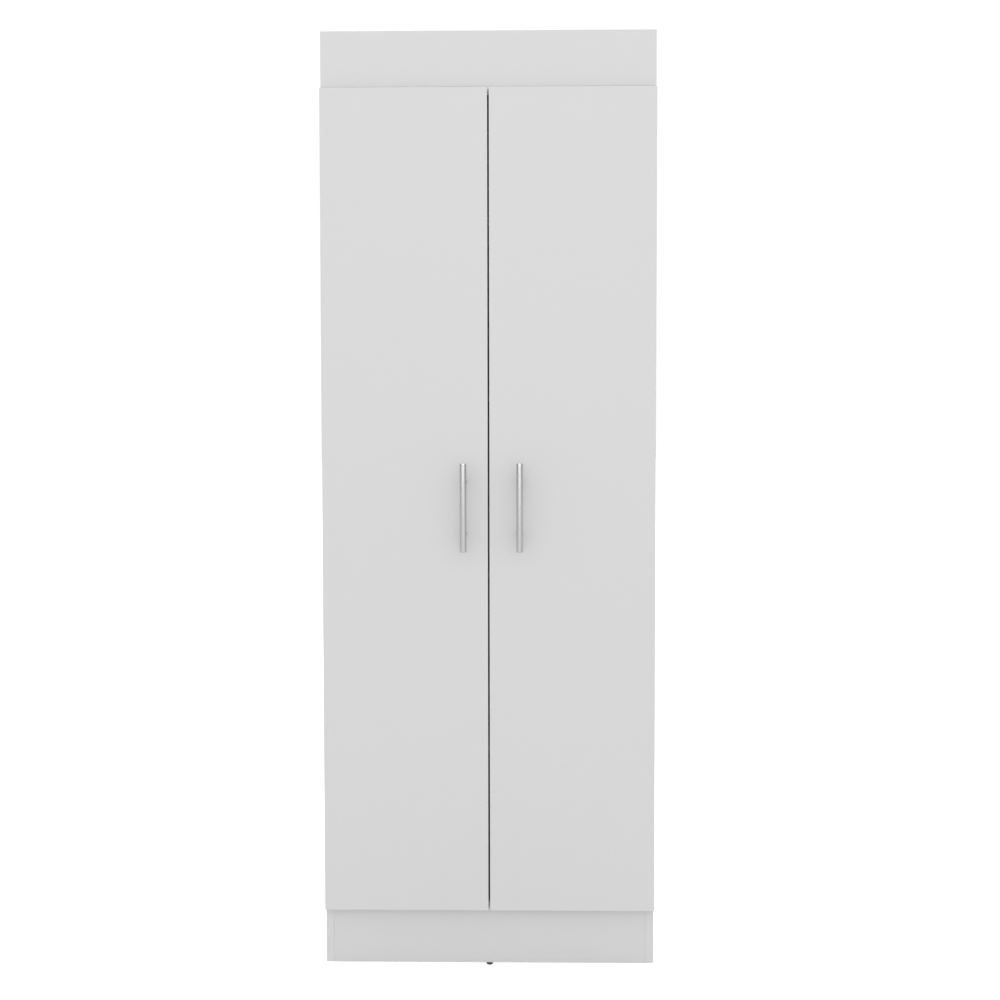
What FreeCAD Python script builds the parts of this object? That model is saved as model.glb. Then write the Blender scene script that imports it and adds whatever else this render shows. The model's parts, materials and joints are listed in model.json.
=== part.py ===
import FreeCAD
import Part
import math
import os
import re
import Sketcher

# Two-door pantry cabinet in melamine-faced board.
# Frame: +X to the right of a person facing the doors, +Y from the doors to the wall, +Z up.
# The origin is the middle of the footprint, on the floor under the glides. Millimetres.

Vector = FreeCAD.Vector
Rotation = FreeCAD.Rotation

SIZES = (
    # Carcass
    ("cabinet_width", 600),
    ("carcass_depth", 380),
    ("carcass_height", 1588),
    ("header_height", 99),
    ("plinth_height", 100),
    ("board", 15),
    # Back
    ("back_board", 3),
    ("back_inset", 3),
    ("joiner_width", 14),
    ("joiner_wall", 1),
    ("joiner_slack", 0.05),
    ("joiner_end_gap", 1),
    # Doors
    ("door_board", 15),
    ("door_standoff", 2),
    ("door_top_reveal", 4),
    ("door_bottom_reveal", 2),
    ("centre_gap", 3),
    # Shelves
    ("shelf_first_rise", 271),
    ("shelf_pitch", 320),
    ("shelf_setback", 35),
    ("shelf_side_slack", 0.5),
    ("shelf_back_slack", 4),
    ("pin_row_setback", 67),
    ("pin_row_pitch", 32),
    ("pin_radius", 2.5),
    ("pin_depth", 8),
    ("pin_reach", 9),
    ("pin_taper", 0.625),
    ("pin_hole_spare", 1),
    ("pin_pad_height", 5),
    ("pin_pad_width", 7),
    # Fasteners
    ("fastener_slack", 0.1),
    ("cam_radius", 7.4),
    ("cam_depth", 12),
    ("cam_setback", 34),
    ("cam_slot", 1.6),
    ("cam_slot_depth", 2),
    ("cam_slot_reach", 5.2),
    ("cam_passage_radius", 3.6),
    ("plinth_cam_rise", 66),
    ("plinth_dowel_rise", 30),
    ("bolt_thread_radius", 2.5),
    ("bolt_thread", 11),
    ("bolt_collar_radius", 3.6),
    ("bolt_shank_radius", 2.4),
    ("bolt_neck_radius", 1.9),
    ("bolt_head_radius", 3.2),
    ("bolt_head", 3),
    ("bolt_bore_radius", 4),
    ("dowel_radius", 4),
    ("dowel_in_face", 10),
    ("dowel_in_end", 18),
    ("dowel_chamfer", 1),
    ("front_fixing_setback", 60),
    ("rear_fixing_setback", 60),
    ("dowel_offset", 32),
    ("header_fixing_inset", 80),
    ("nail_radius", 0.8),
    ("nail_length", 18),
    ("nail_head_radius", 2.4),
    ("nail_head", 0.7),
    ("nail_end_margin", 40),
    ("screw_radius", 1.75),
    ("screw_head_radius", 3.4),
    ("screw_head", 2),
    ("screw_drive_radius", 1.5),
    ("screw_drive_depth", 1.3),
    # Glides, bumpers and wall bracket
    ("glide_height", 6),
    ("glide_radius", 6.5),
    ("glide_crown", 4),
    ("glide_shoulder", 1.4),
    ("glide_shoulder_inset", 0.8),
    ("glide_foot_inset", 2.8),
    ("glide_nail_radius", 1.2),
    ("glide_nail", 12),
    ("glide_setback", 50),
    ("bumper_radius", 4),
    ("bumper_crown", 1),
    ("bumper_gap", 0.1),
    ("bumper_edge", 30),
    ("bumper_margin", 0.5),
    ("bracket_width", 60),
    ("bracket_leg", 30),
    ("bracket_rise", 36),
    ("bracket_wall", 2),
    ("bracket_hole_pitch", 40),
    ("bracket_hole_radius", 2.6),
    ("bracket_hole_height", 24),
    ("bracket_screw_setback", 18),
    ("bracket_screw", 12),
    # Handles
    ("bar_radius", 6),
    ("bar_length", 158),
    ("bar_chamfer", 0.8),
    ("post_pitch", 96),
    ("post_radius", 5),
    ("post_foot_radius", 6),
    ("post_foot", 2),
    ("post_saddle_gap", 0.02),
    ("post_bore_depth", 10),
    ("handle_projection", 34),
    ("handle_rise", 735.5),
    ("left_handle_inset", 43.2),
    ("right_handle_inset", 54.5),
    ("handle_screw_radius", 2),
    ("handle_screw_reach", 9),
    ("handle_screw_head_radius", 3.9),
    ("handle_screw_head", 2.4),
    # Cup hinges
    ("hinge_end_inset", 100),
    ("cup_edge", 5),
    ("cup_bore_radius", 17.5),
    ("cup_bore_depth", 12.3),
    ("cup_fit", 0.05),
    ("cup_wall", 0.5),
    ("cup_floor", 0.6),
    ("flange", 1.2),
    ("flange_radius", 19),
    ("ear_radius", 7),
    ("cup_screw_pitch", 45),
    ("cup_screw_offset", 9.5),
    ("cup_screw", 10),
    ("plate_wall", 2.5),
    ("plate_start", 22),
    ("plate_length", 42),
    ("plate_width", 12),
    ("plate_rail_width", 9),
    ("plate_rail_height", 6),
    ("plate_screw_setback", 37),
    ("plate_screw_pitch", 32),
    ("plate_screw_radius", 2.4),
    ("plate_screw_head_radius", 4),
    ("plate_screw", 11),
    ("arm_gap", 0.3),
    ("arm_wall", 1.4),
    ("arm_half_width", 6.8),
    ("arm_start", 8),
    ("arm_reach", 62),
    ("arm_height", 13),
    ("arm_screw_radius", 2),
    ("arm_screw_head_radius", 3.6),
    ("arm_screw_head", 1.8),
    ("arm_screw", 10),
    ("arm_fixing_setback", 52),
    ("arm_adjuster_setback", 30),
    ("hinge_pin_radius", 1),
    ("hinge_pin_slack", 0.06),
    ("hinge_eye_radius", 2.4),
    ("link_half_thickness", 1.05),
    ("outer_link_half_width", 2),
    ("clevis_inner", 2.2),
    ("clevis_outer", 3.1),
    ("clevis_root", 12),
    ("inner_link_inner", 3.3),
    ("inner_link_outer", 5.1),
    ("fork_wall", 0.42),
    ("fork_overrun", 0.2),
    # Hinge pins and link knees, from the outer face of a side and the front edges of the carcass
    ("outer_arm_pin_x", 28.9),
    ("outer_arm_pin_y", -11),
    ("outer_cup_pin_x", 8.36),
    ("outer_cup_pin_y", -10.72),
    ("outer_knee_x", 17.38),
    ("outer_knee_y", -12.4),
    ("outer_fork_near", 19.44),
    ("outer_fork_far", 20.8),
    ("outer_fork_slack", 0.25),
    ("inner_arm_pin_x", 34.5),
    ("inner_arm_pin_y", -11),
    ("inner_cup_pin_x", 9.51),
    ("inner_cup_pin_y", -9.48),
    ("inner_knee_x", 16.24),
    ("inner_knee_y", -12.18),
    ("inner_fork_near", 23.32),
    ("inner_fork_far", 25.44),
    ("inner_fork_slack", 0.35),
)

doc = FreeCAD.newDocument("pantry_cabinet")
sheet = doc.addObject("Spreadsheet::Sheet", "Size")
for row, (alias, value) in enumerate(SIZES, start=1):
    sheet.set(f"A{row}", alias)
    sheet.set(f"B{row}", str(value))
    sheet.setAlias(f"B{row}", alias)
doc.recompute()

ALIASES = {alias for alias, value in SIZES}
nodes = []
bores = {}

# Places along X: the two inner faces of the sides
HALF = "(cabinet_width / 2)"
INNER = f"({HALF} - board)"
# Places along Y, from the front edges of the carcass to the back
DEPTH = "(handle_projection + door_board + door_standoff + carcass_depth + joiner_slack + joiner_wall)"
FRONT = f"(handle_projection + door_board + door_standoff - {DEPTH} / 2)"
DOOR_INNER = f"({FRONT} - door_standoff)"
DOOR_FACE = f"({DOOR_INNER} - door_board)"
REAR_EDGE = f"({FRONT} + carcass_depth - back_board)"
BACK = f"({FRONT} + carcass_depth)"
# Places along Z
BASE = "glide_height"
PLINTH_TOP = f"({BASE} + plinth_height)"
FLOOR = f"({PLINTH_TOP} + board)"
TOP = f"({BASE} + carcass_height)"
CEILING = f"({TOP} - board)"
DOOR_BOTTOM = f"({PLINTH_TOP} + door_bottom_reveal)"
DOOR_TOP = f"({TOP} - door_top_reveal)"
DOOR_HEIGHT = f"({DOOR_TOP} - {DOOR_BOTTOM})"
DOOR_WIDTH = f"({HALF} - centre_gap / 2)"

AIMS = {
    "+x": Rotation(Vector(0, 0, 1), Vector(1, 0, 0)),
    "-x": Rotation(Vector(0, 0, 1), Vector(-1, 0, 0)),
    "+y": Rotation(Vector(0, 0, 1), Vector(0, 1, 0)),
    "-y": Rotation(Vector(0, 0, 1), Vector(0, -1, 0)),
    "+z": Rotation(),
    "-z": Rotation(Vector(1, 0, 0), 180),
    "-y upright": Rotation(Vector(0, 0, 1), Vector(-1, 0, 0), Vector(0, -1, 0), "ZXY"),
    "turned about y": Rotation(Vector(0, 1, 0), 180),
}


def bound(text):
    """Point every size named in an expression at the sheet."""
    return re.sub(r"[a-z_]+", lambda word: f"Size.{word[0]}" if word[0] in ALIASES else word[0], text)


def bind(thing, **sizes):
    for name, text in sizes.items():
        thing.setExpression(name, bound(text))
    return thing


def put(thing, place, aim="+z"):
    """Turn a thing the way it aims, then bind its place to three expressions."""
    thing.Placement = FreeCAD.Placement(Vector(), AIMS[aim])
    for axis, text in zip("xyz", place):
        thing.setExpression(f"Placement.Base.{axis}", bound(text))
    return thing


def shift(place, x="0", y="0", z="0"):
    return tuple(f"({old} + {step})" for old, step in zip(place, (x, y, z)))


def block(name, low, size):
    box = doc.addObject("Part::Box", name)
    bind(box, Length=size[0], Width=size[1], Height=size[2])
    return put(box, low)


def rod(name, place, aim, radius, length):
    cylinder = doc.addObject("Part::Cylinder", name)
    bind(cylinder, Radius=radius, Height=length)
    return put(cylinder, place, aim)


def fuse(name, shapes):
    joined = doc.addObject("Part::MultiFuse", name)
    joined.Shapes = shapes
    return joined


def cut(name, base, tools):
    """Take the tools out of the base."""
    tool = doc.addObject("Part::Compound", f"{name}_tools")
    tool.Links = tools
    result = doc.addObject("Part::Cut", name)
    result.Base = base
    result.Tool = tool
    return result


def node(thing, name):
    """Name a finished sub-part and set it down for export."""
    thing.Label = name
    nodes.append(thing)
    return thing


def bore(boards, place, aim, radius, depth):
    """A round hole in each named board, which the board takes out when it is finished."""
    tool = rod("bore", place, aim, radius, depth)
    for name in boards:
        bores.setdefault(name, []).append(tool)


def board(name, low, size):
    """A rectangular board with its bores."""
    blank = block(f"{name}_blank", low, size)
    if name in bores:
        return node(cut(name, blank, bores[name]), name)
    return node(blank, name)


def origin_plane(body, role):
    return next(feature for feature in body.Origin.OriginFeatures if feature.Role == role)


def sketch_on(body, role, name, lift=None):
    sketch = body.newObject("Sketcher::SketchObject", name)
    sketch.AttachmentSupport = [(origin_plane(body, role), "")]
    sketch.MapMode = "FlatFace"
    if lift:
        sketch.setExpression("AttachmentOffset.Base.z", bound(lift))
    return sketch


def tie(sketch, kind, geometry, point, text):
    """Hold a point of a sketch at a distance from its origin."""
    index = sketch.addConstraint(Sketcher.Constraint(kind, -1, 1, geometry, point, 1.0))
    sketch.setExpression(f"Constraints[{index}]", bound(text))


def polygon(sketch, corners):
    """A closed outline of straight lines through corners given as pairs of expressions."""
    count = len(corners)
    turn = 2 * math.pi / count
    start = [Vector(5 + 3 * math.cos(turn * step), 5 + 3 * math.sin(turn * step)) for step in range(count)]
    for step in range(count):
        sketch.addGeometry(Part.LineSegment(start[step], start[(step + 1) % count]))
    for step in range(count):
        sketch.addConstraint(Sketcher.Constraint("Coincident", step, 2, (step + 1) % count, 1))
    for step, (across, up) in enumerate(corners):
        tie(sketch, "DistanceX", step, 1, across)
        tie(sketch, "DistanceY", step, 1, up)


def circle(sketch, centre, radius):
    index = sketch.addGeometry(Part.Circle(Vector(5, 5), Vector(0, 0, 1), 1))
    tie(sketch, "DistanceX", index, 3, centre[0])
    tie(sketch, "DistanceY", index, 3, centre[1])
    size = sketch.addConstraint(Sketcher.Constraint("Radius", index, 1.0))
    sketch.setExpression(f"Constraints[{size}]", bound(radius))


def turned(name, outline):
    """A solid of revolution about Z, from an outline of (radius, height) pairs."""
    body = doc.addObject("PartDesign::Body", name)
    sketch = sketch_on(body, "XZ_Plane", f"{name}_outline")
    polygon(sketch, outline)
    spin = body.newObject("PartDesign::Revolution", f"{name}_turning")
    spin.Profile = sketch
    spin.ReferenceAxis = (sketch, ["V_Axis"])
    spin.Angle = 360
    return body


def pad(body, sketch, name, length, mid=False, reverse=False):
    feature = body.newObject("PartDesign::Pad", name)
    feature.Profile = sketch
    feature.Midplane = mid
    feature.Reversed = reverse
    return bind(feature, Length=length)


def pocket(body, sketch, name, depth, mid=False, reverse=False):
    feature = body.newObject("PartDesign::Pocket", name)
    feature.Profile = sketch
    feature.Midplane = mid
    feature.Reversed = reverse
    return bind(feature, Length=depth)


def group(name, master, spots):
    """Equal solids: one link to the master for each (place, aim)."""
    links = []
    for place, aim in spots:
        link = doc.addObject("App::Link", f"{name}_copy")
        link.LinkedObject = master
        links.append(put(link, place, aim))
    whole = doc.addObject("Part::Compound", name)
    whole.Links = links
    return whole


def copies(name, master, spots):
    return node(group(name, master, spots), name)


def along(place, aim, distance):
    """The place moved a distance the way of an aim such as +x."""
    return tuple(f"({at} {aim[0]} {distance})" if axis == aim[1] else at for axis, at in zip("xyz", place))


def back(aim):
    return ("-" if aim[0] == "+" else "+") + aim[1:]


def screw(name, radius, length, head_radius, head):
    """A screw hanging from the top of its head, with a drive recess in the head."""
    return turned(name, [
        ("0", "screw_drive_depth"), ("screw_drive_radius", "0"), (head_radius, "0"), (head_radius, head),
        (radius, head), (radius, f"{head} + {length} - {radius}"), ("0", f"{head} + {length}"),
    ])


# ---- Fixings between the boards -------------------------------------------------------------

cam_blank = rod("cam_blank", ("0", "0", "0"), "+z", "cam_radius", "cam_depth")
cam_cuts = [
    rod("cam_passage", ("-cam_radius", "0", "board / 2"), "+x", "cam_passage_radius", "2 * cam_radius"),
    block("cam_slot_long", ("-cam_slot_reach", "-cam_slot / 2", "0"),
          ("2 * cam_slot_reach", "cam_slot", "cam_slot_depth")),
    block("cam_slot_short", ("-cam_slot / 2", "-cam_slot_reach", "0"),
          ("cam_slot", "2 * cam_slot_reach", "cam_slot_depth")),
]
cam = cut("cam", cam_blank, cam_cuts)

BOLT_HEAD_LOW = "(bolt_thread + cam_setback - bolt_head / 2)"
bolt = turned("cam_bolt", [
    ("0", "0"), ("bolt_thread_radius", "bolt_thread_radius / 2"), ("bolt_thread_radius", "bolt_thread"),
    ("bolt_collar_radius", "bolt_thread"), ("bolt_collar_radius", "bolt_thread + bolt_collar_radius / 2"),
    ("bolt_shank_radius", "bolt_thread + bolt_collar_radius / 2"),
    ("bolt_shank_radius", f"{BOLT_HEAD_LOW} - 2 * bolt_head"),
    ("bolt_neck_radius", f"{BOLT_HEAD_LOW} - 2 * bolt_head"),
    ("bolt_neck_radius", BOLT_HEAD_LOW), ("bolt_head_radius", BOLT_HEAD_LOW),
    ("bolt_head_radius", f"{BOLT_HEAD_LOW} + bolt_head"), ("0", f"{BOLT_HEAD_LOW} + bolt_head"),
])

DOWEL = "(dowel_in_face + dowel_in_end)"
dowel = turned("dowel", [
    ("0", "0"), ("dowel_radius - dowel_chamfer", "0"), ("dowel_radius", "dowel_chamfer"),
    ("dowel_radius", f"{DOWEL} - dowel_chamfer"), ("dowel_radius - dowel_chamfer", DOWEL), ("0", DOWEL),
])

cam_spots = []
bolt_spots = []
dowel_spots = []


def cam_joint(face_board, end_board, spot, aim, cam_aim):
    """A bolt screwed into the face board at spot, drawn up by a cam in the end board."""
    bolt_spots.append((along(spot, back(aim), "bolt_thread"), aim))
    cam_place = along(along(spot, aim, "cam_setback"), back(cam_aim), "(board / 2)")
    cam_spots.append((cam_place, cam_aim))
    bore([face_board], spot, back(aim), "bolt_thread_radius + fastener_slack",
         "bolt_thread + fastener_slack")
    bore([end_board], spot, aim, "bolt_bore_radius", "cam_setback + bolt_head / 2 + fastener_slack")
    bore([end_board], cam_place, cam_aim, "cam_radius + fastener_slack", "cam_depth + fastener_slack")


def dowel_joint(face_board, end_board, spot, aim):
    dowel_spots.append((along(spot, back(aim), "dowel_in_face"), aim))
    wide = "dowel_radius + fastener_slack"
    bore([face_board], spot, back(aim), wide, "dowel_in_face + fastener_slack")
    bore([end_board], spot, aim, wide, "dowel_in_end + fastener_slack")


PLINTH_MIDDLE = f"({FRONT} + board / 2)"
RAIL_MIDDLE = f"({REAR_EDGE} - board / 2)"
for side, sign in (("left", "-"), ("right", "+")):
    panel = f"side_panel_{side}"
    inward = "+x" if side == "left" else "-x"
    outward = back(inward)
    for line, step in (
        (f"({FRONT} + front_fixing_setback)", "+"),
        (f"({REAR_EDGE} - rear_fixing_setback)", "-"),
    ):
        beside = f"({line} {step} dowel_offset)"
        low = f"({FLOOR} - board / 2)"
        cam_joint(panel, "bottom_panel", (f"({sign}{INNER})", line, low), inward, "+z")
        dowel_joint(panel, "bottom_panel", (f"({sign}{INNER})", beside, low), inward)
        across = f"({sign}({HALF} - board / 2))"
        cam_joint("top_panel", panel, (across, line, CEILING), "-z", outward)
        dowel_joint("top_panel", panel, (across, beside, CEILING), "-z")
    for rail, middle, facing in (("plinth_front", PLINTH_MIDDLE, "-y"), ("plinth_rear", RAIL_MIDDLE, "+y")):
        end = f"({sign}{INNER})"
        cam_joint(panel, rail, (end, middle, f"({BASE} + plinth_cam_rise)"), inward, facing)
        dowel_joint(panel, rail, (end, middle, f"({BASE} + plinth_dowel_rise)"), inward)
    at_header = f"({sign}({HALF} - header_fixing_inset))"
    cam_joint("top_panel", "header_panel", (at_header, PLINTH_MIDDLE, TOP), "+z", "-y upright")
    beside = f"({sign}({HALF} - header_fixing_inset - dowel_offset))"
    dowel_joint("top_panel", "header_panel", (beside, PLINTH_MIDDLE, TOP), "+z")
cam_joint("top_panel", "header_panel", ("0", PLINTH_MIDDLE, TOP), "+z", "-y upright")

copies("cam_locks", cam, cam_spots)
copies("cam_bolts", bolt, bolt_spots)
copies("wood_dowels", dowel, dowel_spots)

# ---- Shelves and their pins -------------------------------------------------------------------

PIN = "(pin_reach + pin_depth)"
pin_peg = turned("shelf_pin_peg", [
    ("0", "0"), ("pin_radius", "0"), ("pin_radius", f"{PIN} - pin_taper"),
    ("pin_radius - pin_taper", PIN), ("0", PIN),
])
pin_pad = block(
    "shelf_pin_pad", ("-pin_pad_height / 2", "-pin_pad_width / 2", "0"),
    ("pin_pad_height", "pin_pad_width", "pin_reach"),
)
shelf_pin = fuse("shelf_pin", [pin_peg, pin_pad])

SHELVES = 4
pin_spots = []
shelf_lows = [f"({FLOOR} + shelf_first_rise + {step} * shelf_pitch)" for step in range(SHELVES)]
for low in shelf_lows:
    for row in (f"({FRONT} + pin_row_setback)", f"({REAR_EDGE} - pin_row_setback)"):
        height = f"({low} - max(pin_pad_height / 2; pin_radius))"
        for side, sign, outward in (("left", "-", "-x"), ("right", "+", "+x")):
            face = (f"({sign}{INNER})", row, height)
            pin_spots.append((along(face, back(outward), "pin_reach"), outward))
            for spare in ("-", "0 *", "+"):
                hole = shift(face, z=f"{spare} pin_row_pitch")
                bore([f"side_panel_{side}"], hole, outward, "pin_radius + fastener_slack",
                     "pin_depth + pin_hole_spare")
copies("shelf_pins", shelf_pin, pin_spots)

# ---- Back and its nails -----------------------------------------------------------------------

SEAM = f"(({PLINTH_TOP} + {TOP}) / 2)"
BACK_LOW = f"({PLINTH_TOP} + back_inset)"
BACK_HIGH = f"({TOP} - back_inset)"
SEAM_GAP = "(joiner_wall / 2 + joiner_slack)"
nail = turned("nail", [
    ("0", "0"), ("nail_head_radius - nail_head / 2", "0"), ("nail_head_radius", "nail_head"),
    ("nail_radius", "nail_head"), ("nail_radius", "nail_head + nail_length - 2 * nail_radius"),
    ("0", "nail_head + nail_length"),
])
NAILS = 5
nail_spots = []


def back_nail(panel, edge_board, across, height):
    nail_spots.append(((across, f"({BACK} + nail_head)", height), "-y"))
    bore([panel, edge_board], (across, BACK, height), "-y", "nail_radius + fastener_slack",
         "nail_length + fastener_slack")


for panel, low, high in (
    ("back_panel_lower", BACK_LOW, f"({SEAM} - {SEAM_GAP})"),
    ("back_panel_upper", f"({SEAM} + {SEAM_GAP})", BACK_HIGH),
):
    for step in range(NAILS):
        height = f"({low} + nail_end_margin + ({high} - {low} - 2 * nail_end_margin) * {step} / {NAILS - 1})"
        back_nail(panel, "side_panel_left", f"(-({HALF} - board / 2))", height)
        back_nail(panel, "side_panel_right", f"({HALF} - board / 2)", height)
for step in (-1, 0, 1):
    back_nail("back_panel_lower", "bottom_panel", f"({step} * {HALF} / 2)", f"({FLOOR} - board / 2)")
    back_nail("back_panel_upper", "top_panel", f"({step} * {HALF} / 2)", f"({CEILING} + board / 2)")
copies("back_nails", nail, nail_spots)

# An H-section strip that takes the two back panels
joiner = doc.addObject("PartDesign::Body", "back_joiner")
SLOT = "(back_board + 2 * joiner_slack)"
THICK = f"({SLOT} + 2 * joiner_wall)"
WEB_LOW = "((joiner_width - joiner_wall) / 2)"
WEB_HIGH = "((joiner_width + joiner_wall) / 2)"
section = sketch_on(joiner, "YZ_Plane", "back_joiner_section")
polygon(section, [
    ("0", "0"), ("joiner_wall", "0"), ("joiner_wall", WEB_LOW), (f"joiner_wall + {SLOT}", WEB_LOW),
    (f"joiner_wall + {SLOT}", "0"), (THICK, "0"), (THICK, "joiner_width"),
    (f"joiner_wall + {SLOT}", "joiner_width"), (f"joiner_wall + {SLOT}", WEB_HIGH),
    ("joiner_wall", WEB_HIGH), ("joiner_wall", "joiner_width"),
    ("0", "joiner_width"),
])
pad(joiner, section, "back_joiner_length", f"2 * ({INNER} - joiner_end_gap)", mid=True)
put(joiner, ("0", f"({REAR_EDGE} - joiner_slack - joiner_wall)", f"({SEAM} - joiner_width / 2)"))
node(joiner, "back_joiner")

# ---- Glides -----------------------------------------------------------------------------------

glide = turned("floor_glide", [
    ("0", "0"), ("glide_radius - glide_foot_inset", "0"),
    ("glide_radius - glide_shoulder_inset", "glide_shoulder"),
    ("glide_radius", "glide_crown"), ("glide_radius", "glide_height"), ("glide_nail_radius", "glide_height"),
    ("glide_nail_radius", "glide_height + glide_nail - glide_nail_radius"),
    ("0", "glide_height + glide_nail"),
])
glide_spots = []
for board_name, across, line in (
    ("side_panel_left", f"(-({HALF} - board / 2))", f"({FRONT} + glide_setback)"),
    ("side_panel_left", f"(-({HALF} - board / 2))", f"({REAR_EDGE} - glide_setback)"),
    ("side_panel_right", f"({HALF} - board / 2)", f"({FRONT} + glide_setback)"),
    ("side_panel_right", f"({HALF} - board / 2)", f"({REAR_EDGE} - glide_setback)"),
    ("plinth_front", "0", PLINTH_MIDDLE),
    ("plinth_rear", "0", RAIL_MIDDLE),
):
    glide_spots.append(((across, line, "0"), "+z"))
    bore([board_name], (across, line, BASE), "+z", "glide_nail_radius + fastener_slack",
         "glide_nail + fastener_slack")
copies("floor_glides", glide, glide_spots)

# ---- Wall bracket -----------------------------------------------------------------------------

bracket = doc.addObject("PartDesign::Body", "wall_bracket_blank")
angle_iron = sketch_on(bracket, "YZ_Plane", "wall_bracket_section")
polygon(angle_iron, [
    ("0", "0"), ("bracket_leg", "0"), ("bracket_leg", "bracket_rise"),
    ("bracket_leg - bracket_wall", "bracket_rise"), ("bracket_leg - bracket_wall", "bracket_wall"),
    ("0", "bracket_wall"),
])
pad(bracket, angle_iron, "wall_bracket_length", "bracket_width", mid=True)
put(bracket, ("0", f"({BACK} - bracket_leg)", TOP))
bracket_screw = screw("bracket_screw", "screw_radius", "bracket_screw", "screw_head_radius", "screw_head")
bracket_holes = []
bracket_screw_spots = []
for sign in ("-", "+"):
    across = f"({sign}bracket_hole_pitch / 2)"
    down = (across, f"({BACK} - bracket_screw_setback)", f"({TOP} + bracket_wall)")
    bracket_holes.append(rod("bracket_bore", down, "-z", "screw_radius + fastener_slack", "bracket_wall"))
    bracket_holes.append(rod(
        "bracket_wall_hole", (across, BACK, f"({TOP} + bracket_hole_height)"), "-y", "bracket_hole_radius",
        "bracket_wall",
    ))
    bracket_screw_spots.append((shift(down, z="screw_head"), "-z"))
    bore(["top_panel"], (across, down[1], TOP), "-z", "screw_radius + fastener_slack",
         "bracket_screw - bracket_wall + fastener_slack")
node(cut("wall_bracket", bracket, bracket_holes), "wall_bracket")
copies("bracket_screws", bracket_screw, bracket_screw_spots)

# ---- Cup hinges, in their own frame: the outer face of a side, the front edges, the hinge's middle --

CUP_X = "(cup_edge + cup_bore_radius)"
CUP_FACE = "(-door_standoff)"
EAR_X = f"({CUP_X} + cup_screw_offset)"
CUP_RADIUS = "(cup_bore_radius - cup_fit)"
CUP_INNER = f"({CUP_RADIUS} - cup_wall)"
CUP_LENGTH = "(flange + cup_bore_depth - cup_fit)"
PINS = {
    "outer": (("outer_arm_pin_x", "outer_arm_pin_y"), ("outer_cup_pin_x", "outer_cup_pin_y")),
    "inner": (("inner_arm_pin_x", "inner_arm_pin_y"), ("inner_cup_pin_x", "inner_cup_pin_y")),
}
PIN_BORE = "hinge_pin_radius + hinge_pin_slack"

cup_shell = turned("cup_shell", [
    (CUP_INNER, "0"), ("flange_radius", "0"), ("flange_radius", "flange"), (CUP_RADIUS, "flange"),
    (CUP_RADIUS, CUP_LENGTH), ("0", CUP_LENGTH), ("0", f"{CUP_LENGTH} - cup_floor"),
    (CUP_INNER, f"{CUP_LENGTH} - cup_floor"),
])
put(cup_shell, (CUP_X, f"{CUP_FACE} + flange", "0"), "-y")
cup_ears = [
    block("cup_ear_strip", (f"{EAR_X} - ear_radius", CUP_FACE, "-cup_screw_pitch / 2"),
          ("2 * ear_radius", "flange", "cup_screw_pitch")),
]
cup_holes = [rod("cup_mouth", (CUP_X, f"{CUP_FACE} + flange", "0"), "-y", CUP_INNER, "flange")]
cup_screw_places = []
for sign in ("-", "+"):
    ear = (EAR_X, f"{CUP_FACE} + flange", f"({sign}cup_screw_pitch / 2)")
    cup_ears.append(rod("cup_ear", ear, "-y", "ear_radius", "flange"))
    cup_holes.append(rod("cup_screw_hole", ear, "-y", "screw_radius + fastener_slack", "flange"))
    cup_screw_places.append((shift(ear, y="screw_head"), "-y"))
outer_pin, inner_pin = PINS["outer"][1], PINS["inner"][1]
outer_root = (*outer_pin, "-clevis_outer")
cup_pins = [rod("cup_pin_outer", outer_root, "+z", "hinge_pin_radius", "2 * clevis_outer")]
cup_holes.append(rod("cup_pin_outer_hole", outer_root, "+z", PIN_BORE, "2 * clevis_outer"))
INNER_PIN_EDGE = f"({CUP_X} - {inner_pin[0]} + hinge_pin_radius)"
INNER_PIN_REACH = f"(sqrt({CUP_RADIUS}^2 - {INNER_PIN_EDGE}^2) - cup_fit - inner_link_inner)"
for sign in ("-", "+"):
    root = (*inner_pin, f"({sign}inner_link_inner)")
    cup_pins.append(rod("cup_pin_inner", root, f"{sign}z", "hinge_pin_radius", INNER_PIN_REACH))
    cup_holes.append(rod("cup_pin_inner_hole", root, f"{sign}z", PIN_BORE, INNER_PIN_REACH))
LUG_FLOOR = f"({CUP_FACE} + flange - {CUP_LENGTH} + cup_floor / 2)"
cup_lugs = []
for sign, near in (("-", "-clevis_outer"), ("+", "clevis_inner")):
    cup_lugs.append(block(
        "cup_lug", (f"{outer_pin[0]} - hinge_pin_radius - 2 * fork_wall", LUG_FLOOR, near),
        ("2 * hinge_pin_radius + 4 * fork_wall",
         f"{outer_pin[1]} + hinge_pin_radius + 2 * fork_wall - {LUG_FLOOR}", "clevis_outer - clevis_inner"),
    ))
ears = cut("cup_ears", fuse("cup_ears_blank", cup_ears), cup_holes[:1])
hinge_cup = cut("hinge_cup", fuse("hinge_cup_blank", [cup_shell, ears, *cup_lugs]), cup_holes[1:])

plate_base = [
    block("plate_strip", ("board", "plate_start", "-plate_width / 2"),
          ("plate_wall", "plate_length", "plate_width")),
    block("plate_wing", ("board", "plate_screw_setback - plate_width / 2", "-plate_screw_pitch / 2"),
          ("plate_wall", "plate_width", "plate_screw_pitch")),
    block("plate_rail", ("board", "plate_start", "-plate_rail_width / 2"),
          ("plate_wall + plate_rail_height", "plate_length", "plate_rail_width")),
]
plate_holes = []
plate_screw_places = []
for sign in ("-", "+"):
    seat = ("(board + plate_wall)", "plate_screw_setback", f"({sign}plate_screw_pitch / 2)")
    plate_base.append(rod("plate_wing_end", seat, "-x", "plate_width / 2", "plate_wall"))
    plate_holes.append(
        rod("plate_screw_hole", seat, "-x", "plate_screw_radius + fastener_slack", "plate_wall"))
    plate_screw_places.append((shift(seat, x="screw_head"), "-x"))

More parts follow.
